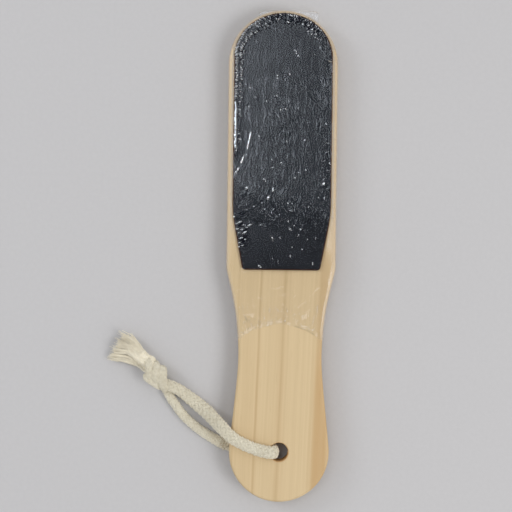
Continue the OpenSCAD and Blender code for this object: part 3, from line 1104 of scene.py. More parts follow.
class Cord:
    """The hanging cord: two legs, the knot and its two frayed tails."""

    STEP = 0.00040
    KNOT_STEP = 0.00042
    BRUSH_STEP = 0.00100
    INTO_KNOT = 0.003
    CORE_SIDES = 14
    CORE_EVERY = 6
    HAIR_L = (0.0008, 0.0019)
    FILLED = 0.80
    FILLING_INSET = 0.0011

    def __init__(self, plan: CordPlan, braided: CottonFinish, frayed: CottonFinish) -> None:
        """Keeps the plan and makes the yarn's finishes.

        Args:
            plan: Where the cord lies.
            braided: Finish of the braid.
            frayed: Finish of the loose yarns.
        """
        self.plan = plan
        self.cotton = braided.material()
        self.loose = frayed.material()

    def _core(self, route: Route, inset: float) -> bmesh.types.BMesh:
        """The inside of a braid, as a tube of joined rings.

        Args:
            route: The line that the braid follows.
            inset: Distance of the tube from the braid's outside.

        Returns:
            The tube.
        """
        bm = bmesh.new()
        last: list[bmesh.types.BMEdge] = []
        picked = [*route.stations[:-3:self.CORE_EVERY], route.stations[-1]]
        for i, s in enumerate(picked):
            frame = Matrix((s.across, s.up, s.across.cross(s.up))).transposed().to_4x4()
            frame.translation = s.at
            shape = Matrix.Diagonal((s.width / 2 - inset, s.thickness / 2 - inset, 1, 1))
            end = i in (0, len(picked) - 1)
            ring = bmesh.ops.create_circle(
                bm, cap_ends=end, segments=self.CORE_SIDES, radius=1.0, matrix=frame @ shape
            )
            rim = [e for e in {e for v in ring["verts"] for e in v.link_edges} if len(e.link_faces) < 2]
            rim = [e for e in rim if not last or e not in last]
            if last:
                bmesh.ops.bridge_loops(bm, edges=last + rim)
            last = rim
        bmesh.ops.recalc_face_normals(bm, faces=bm.faces[:])
        return bm

    def _hairs(self, threads: Threads, route: Route, count: int, seed: int) -> None:
        """Adds short stray hairs that stand out of the cord.

        Args:
            threads: Where the hairs go.
            route: The cord's line.
            count: Number of hairs.
            seed: Start of their irregularities.
        """
        chance = random.Random(seed)
        for _ in range(count):
            s = chance.choice(route.stations[4:-4])
            foot = s.on_oval(chance.random(), 0.0003)
            out = (foot - s.at).normalized()
            along = s.across.cross(s.up) * chance.uniform(-1, 1) + s.across * chance.uniform(-0.4, 0.4)
            side = (out * chance.uniform(0.25, 0.7) + along).normalized()
            reach = chance.uniform(*self.HAIR_L)
            curl = Vector((chance.uniform(-1, 1), chance.uniform(-1, 1), chance.uniform(-0.6, 0.4)))
            curl *= reach * 0.35
            line = [foot + side * reach * u + curl * u * u for u in (0, 0.25, 0.5, 0.75, 1)]
            threads.add(line, [0.13, 0.12, 0.11, 0.09, 0.06])

    def _braided(
        self, name: str, route: Route, braid: Braid, hairs: int, cotton: bpy.types.Material
    ) -> bpy.types.Object:
        """Builds a stretch of braid with its core and stray hairs.

        Args:
            name: Name of the piece.
            route: Where it runs.
            braid: How it is plaited.
            hairs: Number of stray hairs.
            cotton: Its material.

        Returns:
            The piece.
        """
        threads = Threads(name, braid.yarn_r)
        braid.plait(threads, route)
        self._hairs(threads, route, hairs, braid.seed + 3)
        core = to_object(self._core(route, braid.yarn_r + 2 * braid.weave), name + "_core", cotton)
        return joined([threads.to_piece(cotton), core])

    def _leg(
        self, name: str, node: str, points: list[Vector], sizes: list[Size], seed: int
    ) -> tuple[bpy.types.Object, Route]:
        """Builds one leg, which runs on into the knot.

        Args:
            name: Name of the piece.
            node: Name of the solid that it stands for.
            points: Points of its route up to the knot.
            sizes: Width and thickness at each point.
            seed: Start of its irregularities.

        Returns:
            The piece and its route up to the knot.
        """
        into = points[-1] + self.plan.knot_dir * self.INTO_KNOT
        slim = sizes[-1][0] * 0.8, sizes[-1][1] * 0.8
        further = Route([*points, into], [*sizes, slim], self.STEP)
        piece = self._braided(name, further, Braid(seed=seed), 170, self.cotton)
        return settle(piece, Body.CORD, "cotton", node), Route(points, sizes, self.STEP)

    def _wraps(self) -> Route:
        """The route of the band that goes round the knot.

        Returns:
            The route, with its outward direction.
        """
        plan = self.plan
        centre, axis = plan.to_world(plan.on_knot(0, 0, plan.knot_h / 2)), plan.knot_dir

        def outward(at: Vector) -> Vector:
            """Direction away from the line through the knot."""
            off = at - centre
            return (off - axis * off.dot(axis)).normalized()

        return Route(*Wrap().line(plan), self.KNOT_STEP, outward)

    def _cross(self) -> Route:
        """The short stretch of cord that crosses the knot's lower flank.

        Returns:
            Its route.
        """
        plan = self.plan
        places = [
            (5.2, 2.6, 5.6), (4.4, 3.3, 7.6), (2.4, 4.0, 8.5), (-0.8, 4.9, 8.4), (-3.4, 5.7, 7.2),
            (-5, 6, 5.4),
        ]
        line = [plan.to_world(plan.on_knot(*p)) for p in places]
        width, thickness = 0.0046, 0.0032
        shares = (0.55, 0.75, 0.82, 0.80, 0.75, 0.6)
        return Route(line, [(width * s, thickness * s) for s in shares], self.KNOT_STEP)

    def _knot(self) -> bpy.types.Object:
        """Builds the knot: a band of braid that wraps the doubled cord.

        Returns:
            The piece.
        """
        plan = self.plan
        braid = Braid(strands=5, yarn_r=0.00034, weave=0.00022, crown=0.00016, pitch=0.0145, seed=23)
        wraps = self._braided("cord_knot_wraps", self._wraps(), braid, 130, self.cotton)
        slim = Braid(strands=4, yarn_r=0.00032, weave=0.00020, crown=0.00014, pitch=0.0120, seed=29)
        cross = self._braided("cord_knot_cross", self._cross(), slim, 40, self.cotton)
        turn = Matrix.Rotation(math.radians(plan.knot_turn), 4, "Z")
        turn.translation = plan.to_world(plan.on_knot(0, 0, plan.knot_h / 2))
        half = Vector((plan.knot_l / 2 - 0.4, plan.knot_w / 2 - 0.9, plan.knot_h / 2 - 0.9)) * MM
        skew = Matrix.Identity(4)
        skew[1][0] = plan.knot_skew
        heart = bmesh.new()
        shape = turn @ skew @ Matrix.Diagonal((*half, 1))
        bmesh.ops.create_uvsphere(heart, u_segments=28, v_segments=16, radius=1.0, matrix=shape)
        knot = joined([wraps, cross, to_object(heart, "knot_heart", self.cotton)])
        return settle(knot, Body.CORD, "cotton", "cord_knot")

    def _tail(
        self, name: str, node: str, points: list[Vector], sizes: list[Size], held: float,
        brushes: Sequence[Brush],
    ) -> bpy.types.Object:
        """Builds one tail: the braid's last stretch and the brush that it frays into.

        Args:
            name: Name of the piece.
            node: Name of the solid that it stands for.
            points: Points of its route.
            sizes: Width and thickness at each point.
            held: Share of the route along which the braid still holds.
            brushes: The thick and the fine part of its brush.

        Returns:
            The piece.
        """
        points = [points[0] - self.plan.knot_dir * self.INTO_KNOT, *points]
        sizes = [sizes[0], *sizes]
        braided, filled = Route(points, sizes, self.STEP), Route(points, sizes, self.STEP)
        for route, share in ((braided, held), (filled, self.FILLED)):
            route.stations = [s for s in route.stations if s.run < route.length * share]
        piece = self._braided(name, braided, Braid(seed=brushes[0].seed), 60, self.loose)
        parts = [piece, to_object(self._core(filled, self.FILLING_INSET), "tail_filling", self.loose)]
        route = Route(points, sizes, self.BRUSH_STEP)
        for brush in brushes:
            threads = Threads(name + "_brush", brush.yarn_r, roundness=0)
            brush.comb(threads, route)
            parts.append(threads.to_piece(self.loose))
        return settle(joined(parts), Body.CORD, "cotton", node)

    def build(self) -> None:
        plan = self.plan
        knot = self._knot()
        wide = (
            Brush(17, 15, 0.00017, 0.0023, 0.00034, opened=0.30, seed=51, sag=(-0.6, -1.7)),
            Brush(26, 24, 0.00007, 0.0029, 0.00045, opened=0.2, seed=91, sag=(-0.6, -1.7)),
        )
        slim = (
            Brush(10, 11, 0.00017, 0.0004, 0.00030, opened=0.45, seed=67),
            Brush(14, 16, 0.00007, 0.0008, 0.00040, opened=0.3, seed=77),
        )
        points, sizes = plan.upper_route(), plan.upper_sizes()
        upper = self._tail("cord_tail_brush", "cord_tail_upper", points, sizes, 0.36, wide)
        points, sizes = plan.lower_route(), plan.lower_sizes()
        lower = self._tail("cord_tail_slim", "cord_tail_lower", points, sizes, 0.50, slim)
        for name, node, points, sizes, seed in (
            ("cord_leg_over", "cord_front_leg", plan.front_route(), plan.front_sizes(), 5),
            ("cord_leg_under", "cord_rear_leg", plan.rear_route(), plan.rear_sizes(), 11),
        ):
            leg, route = self._leg(name, node, points, sizes, seed)
            log.info("%s is %.1f mm long", name, route.length / MM)


# Paddle


@dataclass
class Outline:
    """Half of the paddle's outline, from the head's end down to the handle's end.

    Attributes are the wood's lengths in metres and the shares that bend its curves, as in the source.
    """

    length: float = 0.250
    head_w: float = 0.0555
    head_l: float = 0.130
    head_end_l: float = 0.0275
    waist_l: float = 0.177
    waist_w: float = 0.0424
    handle_w: float = 0.0508
    shoulder_share: float = 0.13
    waist_share: float = 0.6
    grip_share: float = 0.22
    end_share: float = 0.33
    grip_turn: float = 5.0
    stations: tuple[int, ...] = (14, 10, 16, 6, 12)

    @property
    def head_y(self) -> float:
        """Place of the head's end."""
        return self.length / 2

    @property
    def end_y(self) -> float:
        """Place where the head's round end begins."""
        return self.head_y - self.head_end_l

    @property
    def shoulder_y(self) -> float:
        """Place of the shoulder."""
        return self.head_y - self.head_l

    @property
    def hole_y(self) -> float:
        """Place of the hole."""
        return self.handle_w / 2 - self.head_y

    @property
    def last(self) -> int:
        """Number of the last station."""
        return sum(self.stations)

    def at(self, index: float) -> Vector:
        """A point of the right side.

        Args:
            index: Number of the station, whole or not, from the head's end.

        Returns:
            The point, flat.
        """
        end, side, neck, grip, arc = self.stations
        half, waist_y = self.head_w / 2, self.head_y - self.waist_l
        if index < end:
            angle = math.pi / 2 * index / end
            return Vector((half * math.sin(angle), self.end_y + self.head_end_l * math.cos(angle)))
        index -= end
        if index < side:
            return Vector((half, self.end_y + (self.shoulder_y - self.end_y) * index / side))
        index -= side
        waist = Vector((self.waist_w / 2, waist_y))
        if index < neck:
            span = self.shoulder_y - waist_y
            shoulder = Vector((half, self.shoulder_y))
            return bezier(
                shoulder, shoulder - Vector((0, span * self.shoulder_share)),
                waist + Vector((0, span * self.waist_share)), waist, index / neck,
            )
        index -= neck
        turn = math.radians(self.grip_turn)
        radius = self.handle_w / 2
        grip_at = Vector((radius * math.cos(turn), self.hole_y + radius * math.sin(turn)))
        if index < grip:
            span = waist_y - grip_at.y
            lead = Vector((-math.sin(turn), math.cos(turn))) * span * self.end_share
            below = waist - Vector((0, span * self.grip_share))
            return bezier(waist, below, grip_at + lead, grip_at, index / grip)
        angle = turn + (-math.pi / 2 - turn) * (index - grip) / arc
        return Vector((radius * math.cos(angle), self.hole_y + radius * math.sin(angle)))

    def outward(self, index: float) -> Vector:
        """Direction straight out of the right side at a station, whole or not."""
        ahead = self.at(min(index + 0.05, self.last)) - self.at(max(index - 0.05, 0.0))
        return Vector((-ahead.y, ahead.x)).normalized() if index > 0 else Vector((0, 1))


@dataclass
class Levels:
    """Heights through the head, from the film's back face up, and the paddle's lean."""

    film_t: float = 0.0001
    film_gap: float = 0.0001
    sheet_t: float = 0.0008
    glue_t: float = 0.0002
    paddle_t: float = 0.009
    sheet_y: float = 0.1235
    cord_under: float = 0.0048 * 0.54
    cord_gap: float = 0.00015

    @property
    def wood_z(self) -> float:
        """Level of the wood's back face."""
        return self.film_t + self.film_gap + self.sheet_t + self.glue_t

    @property
    def wood_top(self) -> float:
        """Level of the wood's front face."""
        return self.wood_z + self.paddle_t

    @property
    def sheet_top(self) -> float:
        """Level of the front sheet's grit."""
        return self.wood_top + self.glue_t + self.sheet_t

    @property
    def mid_z(self) -> float:
        """Level of the wood's middle."""
        return (self.wood_z + self.wood_top) / 2

    def on_rest(self, hole_y: float) -> Matrix:
        """The lean that lays the paddle on its head's end and on the cord.

        Args:
            hole_y: Place of the hole's middle.

        Returns:
            The turn about the head's end.
        """
        lean = math.asin((self.cord_under + self.cord_gap - self.wood_z) / (self.sheet_y - hole_y))
        there = Matrix.Translation((0, self.sheet_y, 0))
        return there @ Matrix.Rotation(-lean, 4, "X") @ there.inverted()


@dataclass
class Paddle:
    """The wooden paddle with its rounded edges, and a drilled hole whose rim is rounded too."""

    outline: Outline
    levels: Levels
    edge_r: float = 0.0015
    hole_d: float = 0.0092
    rim_r: float = 0.001
    finish: PineFinish = PineFinish()

    def build(self) -> None:
        """Builds the wood: a flat face with a hole, drawn up and rounded at its rims."""
        line = self.outline
        bm = bmesh.new()
        right = [line.at(i / 2) for i in range(2 * line.last + 1)]
        flat = [Vector((-p.x, p.y)) for p in right] + right[-2:0:-1]
        corners = [bm.verts.new((p.x, p.y, 0)) for p in flat]
        for k, corner in enumerate(corners):
            bm.edges.new((corners[k - 1], corner))
        middle = Matrix.Translation((0, line.hole_y, 0))
        bmesh.ops.create_circle(bm, cap_ends=False, segments=64, radius=self.hole_d / 2, matrix=middle)
        bmesh.ops.triangle_fill(bm, use_beauty=True, use_dissolve=False, edges=bm.edges[:])
        drawn = bmesh.ops.extrude_face_region(bm, geom=bm.faces[:])["geom"]
        lifted = [g for g in drawn if isinstance(g, bmesh.types.BMVert)]
        bmesh.ops.translate(bm, verts=lifted, vec=(0, 0, self.levels.paddle_t))
        bmesh.ops.recalc_face_normals(bm, faces=bm.faces[:])
        hole = Vector((0, line.hole_y))
        outer, inner = [], []
        for edge in bm.edges:
            if len(edge.link_faces) == 2 and edge.calc_face_angle() > math.radians(60):
                near = (edge.verts[0].co.xy - hole).length < self.hole_d
                (inner if near else outer).append(edge)
        for edges, radius, steps in ((outer, self.edge_r, 6), (inner, self.rim_r, 5)):
            bmesh.ops.bevel(
                bm, geom=edges, offset=radius, offset_type="OFFSET", segments=steps, profile=0.5,
                affect="EDGES", clamp_overlap=False, material=-1,
            )
        lean = self.levels.on_rest(line.hole_y)
        raised = Matrix.Translation((0, 0, self.levels.wood_z))
        bmesh.ops.transform(bm, matrix=lean @ raised, verts=bm.verts[:])
        material = self.finish.material(line.hole_y, self.hole_d / 2)
        piece = to_object(bm, "paddle_wood", material)
        evened = piece.modifiers.new("even_normals", "WEIGHTED_NORMAL")
        evened.keep_sharp = False
        settle(piece, Body.PADDLE, "pine", "paddle")


# Film


@dataclass
class Film:
    """The shrink film: a clear sleeve over the head, with its seam tab, open end and puckers.

    The sheet's sizes, the arc of the open end and the slope past the sheet's foot, tent_l long, repeat
    the source. The sleeve is a grid of columns round the outline and rows from front to back. It ends
    mouth_step stations down the neck, and its ribs have their corners at the shares in stops. The sizes
    in _h are heights of creases, and those in tab_ belong to the weld.
    """

    outline: Outline
    levels: Levels
    edge_r: float = 0.0015
    sheet_w: float = 0.0501
    sheet_l: float = 0.1307
    sheet_end_l: float = 0.0226
    foot_w: float = 0.0394
    taper_l: float = 0.0282
    mouth_rise: float = 0.0082
    tent_l: float = 0.005
    mouth_step: int = 14
    columns: int = 420
    rows: int = 92
    stops: tuple[float, ...] = (0.0, 0.62, 0.72, 0.80, 0.90, 1.0)
    head_h: float = 0.00016
    rim_h: float = 0.00010
    neck_h: float = 0.00022
    mouth_h: float = 0.00030
    lip_h: float = 0.00012
    lip_r: float = 0.00011
    tab_x: Size = (-0.0125, 0.018)
    tab_out: float = 0.0007
    tab_corner: float = 0.002
    tab_t: float = 0.00016
    finish: FilmFinish = FilmFinish()
    pinched: FilmFinish = FilmFinish(
        "film_pinches", clear=0.44, creased=0.45, grazing=0.2, rough=0.11, crinkle=0.00002, hazy=0.0
    )
    wrinkled: FilmFinish = FilmFinish(
        "film_wrinkles", clear=0.07, creased=0.28, grazing=0.10, rough=0.20, crinkle=0.00003, hazy=0.0
    )

    @property
    def foot_y(self) -> float:
        """Place of a sheet's foot."""
        return self.levels.sheet_y - self.sheet_l

    @property
    def sheet_end_y(self) -> float:
        """Place where a sheet's round end begins."""
        return self.levels.sheet_y - self.sheet_end_l

    @property
    def ribs(self) -> int:
        """Station of the outline at which the film ends."""
        return self.outline.stations[0] + self.outline.stations[1] + self.mouth_step

    def sheet_half(self, y: float) -> float:
        """Half the width of a sheet at a place along its straight part and taper."""
        share = (y - self.foot_y) / self.taper_l
        return min(self.sheet_w, self.foot_w + (self.sheet_w - self.foot_w) * share) / 2

    def _arc_y(self, side: Vector, x: float) -> float:
        """Place along the paddle of the rib from a side point, at a distance x from the middle."""
        return side.y + self.mouth_rise * (1 - (x / side.x) ** 2)

    def level(self, y: float) -> float:
        """Height of what the film lies on, which slopes down past the sheet's foot."""
        share = min(1.0, max(0.0, (self.foot_y - self.tent_l / 2 - y) / self.tent_l))
        return self.levels.sheet_top + (self.levels.wood_top - self.levels.sheet_top) * share

    def rib(self, index: float, gap: float) -> list[Vector]:
        """Corner points of the film's front half at a station.

        Args:
            index: Station of the outline.
            gap: Distance of the film from what it wraps.

        Returns:
            Points from the middle of the front to the middle of the wall.
        """
        lv, line, end = self.levels, self.outline, self.outline.stations[0]
        p, n = line.at(index), line.outward(index)
        room = lv.film_t + lv.film_gap
        if index < end:
            top, low = self.sheet_end_y + self.sheet_end_l / 2, line.end_y + self.mouth_rise
            spine = Vector((0, top + (low - top) * index / end))
            w, l = self.sheet_w / 2 + room, self.sheet_end_l + room
            a = (n.x / w) ** 2 + (n.y / l) ** 2
            b = p.x * n.x / w**2 + (p.y - self.sheet_end_y) * n.y / l**2
            c = (p.x / w) ** 2 + ((p.y - self.sheet_end_y) / l) ** 2 - 1
            edge = p - n * ((b - math.sqrt(b * b - a * c)) / a)
            arrival = Vector((w, line.end_y + self.mouth_rise * (1 - (2 * w / line.head_w) ** 2)))
            edge = edge.lerp(arrival, smooth_share(4 * index / end - 3))
        else:
            spine = Vector((0, p.y + self.mouth_rise))
            x = self.sheet_half(self._arc_y(p, self.sheet_half(p.y))) + room
            edge = Vector((x, self._arc_y(p, x)))
        turn_in = self.edge_r * (1 - math.cos(math.pi / 4))
        turn = p + n * (gap * math.cos(math.pi / 4) - turn_in)
        turn_z = lv.wood_top - turn_in + gap * math.sin(math.pi / 4)
        corner = p - n * min(self.edge_r, ((p - edge).length + turn_in) / 2)
        share = min(1.0, max(0.0, (corner - edge).length / (turn - edge).length))
        edge_z = self.level(edge.y) + gap
        corner_z = max(lv.wood_top + gap, edge_z + (turn_z - edge_z) * share)
        side = p + n * gap
        return [
            Vector((*spine, self.level(spine.y) + gap)), Vector((*edge, edge_z)),
            Vector((*corner, corner_z)), Vector((*turn, turn_z)),
            Vector((*side, lv.wood_top - self.edge_r)), Vector((*side, lv.mid_z)),
        ]

    def place(self, column: float, row: float) -> Vector:
        """A point of the film before its puckers.

        Args:
            column: From -1 at the left end of the open edge over 0 at the head's end to 1 at the right.
            row: From 0 at the front's middle over 0.5 at the wall's middle to 1 at the back's middle.

        Returns:
            The point on the unleaning paddle.
        """
        gap = self.levels.film_gap + self.levels.film_t / 2
        rib = self.rib(abs(column) * self.ribs, gap)
        half = min(row, 1 - row) * 2
        stops = self.stops
        k = next(i for i in range(len(stops) - 1) if half <= stops[i + 1] + 1e-9)
        share = (half - stops[k]) / (stops[k + 1] - stops[k])
        share = 1 - (1 - share) ** 1.7 if k == 0 else share
        point = rib[k].lerp(rib[k + 1], share)
        z = point.z if row <= 0.5 else 2 * self.levels.mid_z - point.z
        return Vector((point.x if column >= 0 else -point.x, point.y, z))

    def pucker(self, column: float, row: float, at: Vector) -> float:
        """Height of the film's creases.

        Args:
            column: Place round the outline, as in place().
            row: Place from front to back, as in place().
            at: The point itself.

        Returns:
            The height, outwards.
        """
        rear = 17.0 if row > 0.5 else 0.0
        half = min(row, 1 - row) * 2
        around = column * self.ribs
        end = self.outline.stations[0]
        rim = smooth_share((half - 0.40) / 0.2) * (1 - smooth_share((half - 0.72) / 0.1))
        head = 1 - smooth_share((abs(around) - end * 0.9) / 4)
        ruffle = noise.noise(Vector((around * 3.1, half * 4.0, 1.0 + rear)))
        fine = noise.noise(Vector((at.x * 500, at.y * 900, 9.0 + rear)))
        height = self.head_h * head * rim * max(0.0, ruffle + 0.25) + self.rim_h * rim * max(0.0, fine)
        neck = smooth_share((self.foot_y - at.y - 0.002) / 0.006)
        coarse = noise.noise(Vector((at.x * 260, at.y * 260, 4.0 + rear)))
        mouth = smooth_share((abs(around) - self.ribs + 2.6) / 1.6)
        wave = noise.noise(Vector((at.x * 330, at.y * 150 + 40, 6.0 + rear)))
        height += self.neck_h * neck * max(0.0, coarse) + self.mouth_h * mouth * max(0.0, wave + 0.15)
        return height + self.lip_h * smooth_share((abs(around) - self.ribs + 0.35) / 0.3)

    def _shell(self) -> bmesh.types.BMesh:
        """The sleeve as a grid that is laid round the head.

        Returns:
            The sleeve.
        """
        bm = bmesh.new()
        bmesh.ops.create_grid(bm, x_segments=self.columns, y_segments=self.rows, size=1.0)
        lean = self.levels.on_rest(self.outline.hole_y)
        spots = {v: (v.co.x, (v.co.y + 1) / 2) for v in bm.verts}
        for v, (column, row) in spots.items():
            v.co = self.place(column, row)
        bm.normal_update()
        front = max(bm.faces, key=lambda f: f.calc_center_median().z)
        if front.normal.z < 0:
            bmesh.ops.reverse_faces(bm, faces=bm.faces[:])
        bm.normal_update()
        lifts = {v: v.normal * self.pucker(*spots[v], v.co) for v in bm.verts}
        for v, lift in lifts.items():
            v.co += lift
        bmesh.ops.remove_doubles(bm, verts=bm.verts[:], dist=1e-6)
        bmesh.ops.transform(bm, matrix=lean, verts=bm.verts[:])
        return bm

    def _tab(self) -> bmesh.types.BMesh:
        """The flat welded seam that stands out of the head's end.

        Returns:
            The tab.
        """
        bm = bmesh.new()
        bmesh.ops.create_grid(bm, x_segments=70, y_segments=3, size=1.0)
        lv, line = self.levels, self.outline
        left, right = self.tab_x
        gap = lv.film_gap + lv.film_t / 2
        for v in bm.verts:
            x = left + (right - left) * (v.co.x + 1) / 2
            share = (v.co.y + 1) / 2
            angle = math.asin(min(1.0, abs(x) / (line.head_w / 2)))
            wall = line.end_y + line.head_end_l * math.cos(angle) + gap
            near = min(x - left, right - x)
            edge = line.head_y + self.tab_out - max(0.0, self.tab_corner - near) / 2
            wave = 0.00012 * noise.noise(Vector((x * 300, 3.0, 1.0))) * share
            v.co = Vector((x, wall + (max(edge, wall) - wall) * share, lv.mid_z + wave))
        bmesh.ops.solidify(bm, geom=bm.faces[:], thickness=self.tab_t)
        bmesh.ops.recalc_face_normals(bm, faces=bm.faces[:])
        bmesh.ops.transform(bm, matrix=lv.on_rest(line.hole_y), verts=bm.verts[:])
        return bm

    def _lip(self, material: bpy.types.Material) -> bpy.types.Object:
        """The thickened cut edge of the film's open end.

        Args:
            material: Its finish.

        Returns:
            The piece.
        """
        threads = Threads("film_lip", self.lip_r)
        lean = self.levels.on_rest(self.outline.hole_y)
        steps = 150
        there = [(1.0, k / steps) for k in range(steps + 1)]
        back = [(-1.0, 1 - k / steps) for k in range(1, steps + 1)]
        line = []
        for column, row in there + back:
            at = self.place(column, row)
            wave = noise.noise_vector(at * 700) * 0.00010
            out = 0.00006 if row < 0.5 else -0.00006
            line.append(lean @ (at + Vector((wave.x, wave.y, out))))
        threads.add(line, [0.8 + 0.5 * noise.noise(p * 900) for p in line])
        return threads.to_piece(material)

    def build(self) -> None:
        """Builds the sleeve with its seam."""
        material = self.finish.material()
        shell = to_object(self._shell(), "film_sleeve", material)
        tab = to_object(self._tab(), "film_seam", material)
        settle(joined([shell, tab]), Body.PADDLE, "film", "shrink_film")
        wrinkled = self.wrinkled.material()
        settle(self._lip(wrinkled), Body.PADDLE, "film")
        Puckers(self).build(self.pinched.material(), wrinkled)


@dataclass(frozen=True)
class Pinch:
    """One pinch of the film: a low long dome, in millimetres.

    It lies x across the head and y along the paddle. Its length turns from the paddle's line by turn,
    in degrees.
    """

    x: float
    y: float
    length: float
    width: float
    turn: float
    height: float

    @classmethod
    def drawn(cls, chance: random.Random, x: float, y: float, *sizes: float | Size) -> "Pinch":
        """A pinch whose length, width, turn and height are given, or drawn between two limits."""
        return cls(x, y, *(chance.uniform(*s) if isinstance(s, tuple) else s for s in sizes))


@dataclass(frozen=True)
class PaintedShadeFinish:
    """Painted shade of a fold in the film: a flat, half clear dark sheet laid where the fold's shade falls.

    Attributes:
        name: The material's name.
        depth: Share of the light that the painted shade holds back.
        dark: Colour of the painted shade.
    """

    name: str = "film_fold_shade"
    depth: float = 0.62
    dark: Colour = (0.004, 0.005, 0.012)

    def material(self) -> bpy.types.Material:
        """Builds the half clear, half dark surface of painted shade.

        Returns:
            The material.
        """
        t = new_tree(self.name)
        clear = t.add("ShaderNodeBsdfTransparent", {}, {"Color": (1, 1, 1, 1)})
        inputs = {"Base Color": (*self.dark, 1), "Roughness": 0.9, "Specular IOR Level": 0.0}
        shade_layer = t.add("ShaderNodeBsdfPrincipled", {}, inputs, "BSDF")
        t.finish(t.add("ShaderNodeMixShader", {}, {0: self.depth, 1: clear, 2: shade_layer}))
        return t.owner


@dataclass
class Puckers:
    """Pinches and short creases where the film has shrunk on to the grit and the neck, with painted shade
    for its folds and dents.

    Sizes are in millimetres. Pinches stay inside the sheet's round end and straight sides by the two
    insets. The left band is two columns of bars, some of them missing below dense_y, and a bright line
    that starts at line_at. The painted shade lies in flat spots, and the pinches on the back are lower.
    """

    film: Film
    seed: int = 12
    end_half: float = 25.0
    end_l: float = 22.6
    end_y: float = 100.9
    neck_half: float = 19.5
    end_inset: float = 0.1
    side_inset: float = 0.2
    bars: int = 46
    bars_y: Size = (57.0, 107.0)
    bars_x: Size = (-23.9, -22.1)
    dense_y: float = 80.0
    line_at: Size = (-24.1, 55.5)
    flat: float = 0.02
    behind_h: float = 0.05
    # Finishes of the painted shade: in folds, in dents and along the open end's lip.
    shade: PaintedShadeFinish = PaintedShadeFinish()
    dent_shade_finish: PaintedShadeFinish = PaintedShadeFinish("film_dent_shade", 0.205)
    lip_shade_finish: PaintedShadeFinish = PaintedShadeFinish("film_lip_shade", 0.095)

    def _chosen(self) -> list[Pinch]:
        """The larger creases: place, length, width, turn and height.

        Returns:
            The creases.
        """
        rows = [
            (-17.0, 58.5, 10.5, 0.8, -13, 0.16), (-20.3, 49.0, 5.0, 0.6, -20, 0.13),
            (-22.4, 44.0, 2.5, 0.6, -18, 0.13), (-2.9, 91.6, 1.0, 0.8, 0, 0.11),
            (-2.9, 90.2, 0.9, 0.8, 0, 0.11), (3.2, 92.4, 0.9, 0.8, 0, 0.11),
            (-3.3, 81.3, 1.0, 0.8, 0, 0.11), (-1.2, 74.2, 1.1, 0.8, -20, 0.12),
            (1.4, 74.5, 1.3, 0.8, 30, 0.12), (5.9, 104.3, 1.6, 0.8, 60, 0.11),
            (6.4, 103.0, 1.0, 0.7, 40, 0.10), (-9.0, 38.5, 2.2, 1.0, 35, 0.14),
            (-4.6, 33.5, 2.6, 0.7, -8, 0.13), (-7.0, 29.6, 2.6, 0.9, -30, 0.14),
            (-17.9, 34.3, 1.8, 1.1, -20, 0.13), (21.1, 36.9, 2.2, 0.9, -25, 0.12),
            (24.0, 47.3, 1.2, 0.9, 0, 0.12), (-23.4, 42.3, 1.5, 1.1, 20, 0.14),
            (-10.9, -5.4, 1.8, 1.1, 60, 0.13), (16.0, -3.8, 1.8, 0.5, 5, 0.12),
            (-4.6, 8.5, 2.6, 0.6, 5, 0.10), (4.6, 13.5, 1.2, 0.9, 20, 0.09),
            (9.6, 13.6, 1.0, 0.9, 20, 0.09),
        ]
        return [Pinch(*row) for row in rows]

    def _left_band(self, chance: random.Random) -> list[Pinch]:
        """Bars in two columns along the left edge of the sheet, and the bright line below them.

        Args:
            chance: Source of the irregularities.

        Returns:
            The pinches.
        """
        bars = []
        low, high = self.bars_y
        for k in range(self.bars):
            y = low + (high - low) * (k + chance.uniform(-0.35, 0.35)) / self.bars
            turn = 90 + 0.24 * (high - y) + chance.uniform(-6, 6)
            if y > self.dense_y:
                size = chance.uniform(1.0, 1.5), chance.uniform(0.62, 0.78)
                bars.append(Pinch(self.bars_x[0] + chance.uniform(-0.3, 0.4), y, *size, turn, 0.20))
            if y > self.dense_y or chance.random() < 0.5:
                size = chance.uniform(0.6, 1.1), chance.uniform(0.5, 0.65)
                x = self.bars_x[1] + abs(chance.gauss(0, 0.7))
                bars.append(Pinch(x, y + 0.4, *size, turn, 0.17))
        line = []
        for k in range(13):
            x, y = self.line_at[0] + chance.uniform(-0.1, 0.25), self.line_at[1] + 1.75 * k
            line.append(Pinch.drawn(chance, x, y, (2.6, 6.5), (0.8, 1.25), (-7, 5), (0.14, 0.17)))
        return bars + line

    def _on_end(self, turn: float, depth: float) -> Size:
        """A place inside the sheet's round end, at an angle from the paddle's line."""
        return (self.end_half - depth) * math.sin(turn), self.end_y + (self.end_l - depth) * math.cos(turn)

    def _arcs(self, chance: random.Random) -> tuple[list[Pinch], list[Pinch]]:
        """Ruffles that point outwards round the sheet's round end, and flat spots of painted shade between
        them.

        Args:
            chance: Source of the irregularities.

        Returns:
            The ruffles and the spots of painted shade.
        """
        ruffles, shade_spots = [], []
        for k in range(100):
            angle = -88 + 150 * (k + chance.uniform(-0.4, 0.4)) / 100
            thin = 0.9 if angle < -22 else 0.5 if angle > 12 else 0.35
            lean = -angle + chance.uniform(-14, 14)
            for depth in (0.5 + abs(chance.gauss(0, 0.4)), 2.4 + abs(chance.gauss(0, 1.4))):
                if chance.random() < thin:
                    at = self._on_end(math.radians(angle), depth)
                    ruffles.append(Pinch.drawn(chance, *at, (0.7, 1.3), (0.45, 0.65), lean, (0.08, 0.12)))
                # A flat spot of painted shade between the ruffles.
                if chance.random() < 0.9:
                    at = self._on_end(math.radians(angle + 0.9), depth)
                    shade_spots.append(Pinch.drawn(chance, *at, (1.4, 3.0), (0.35, 0.6), lean, self.flat))
        return ruffles, shade_spots

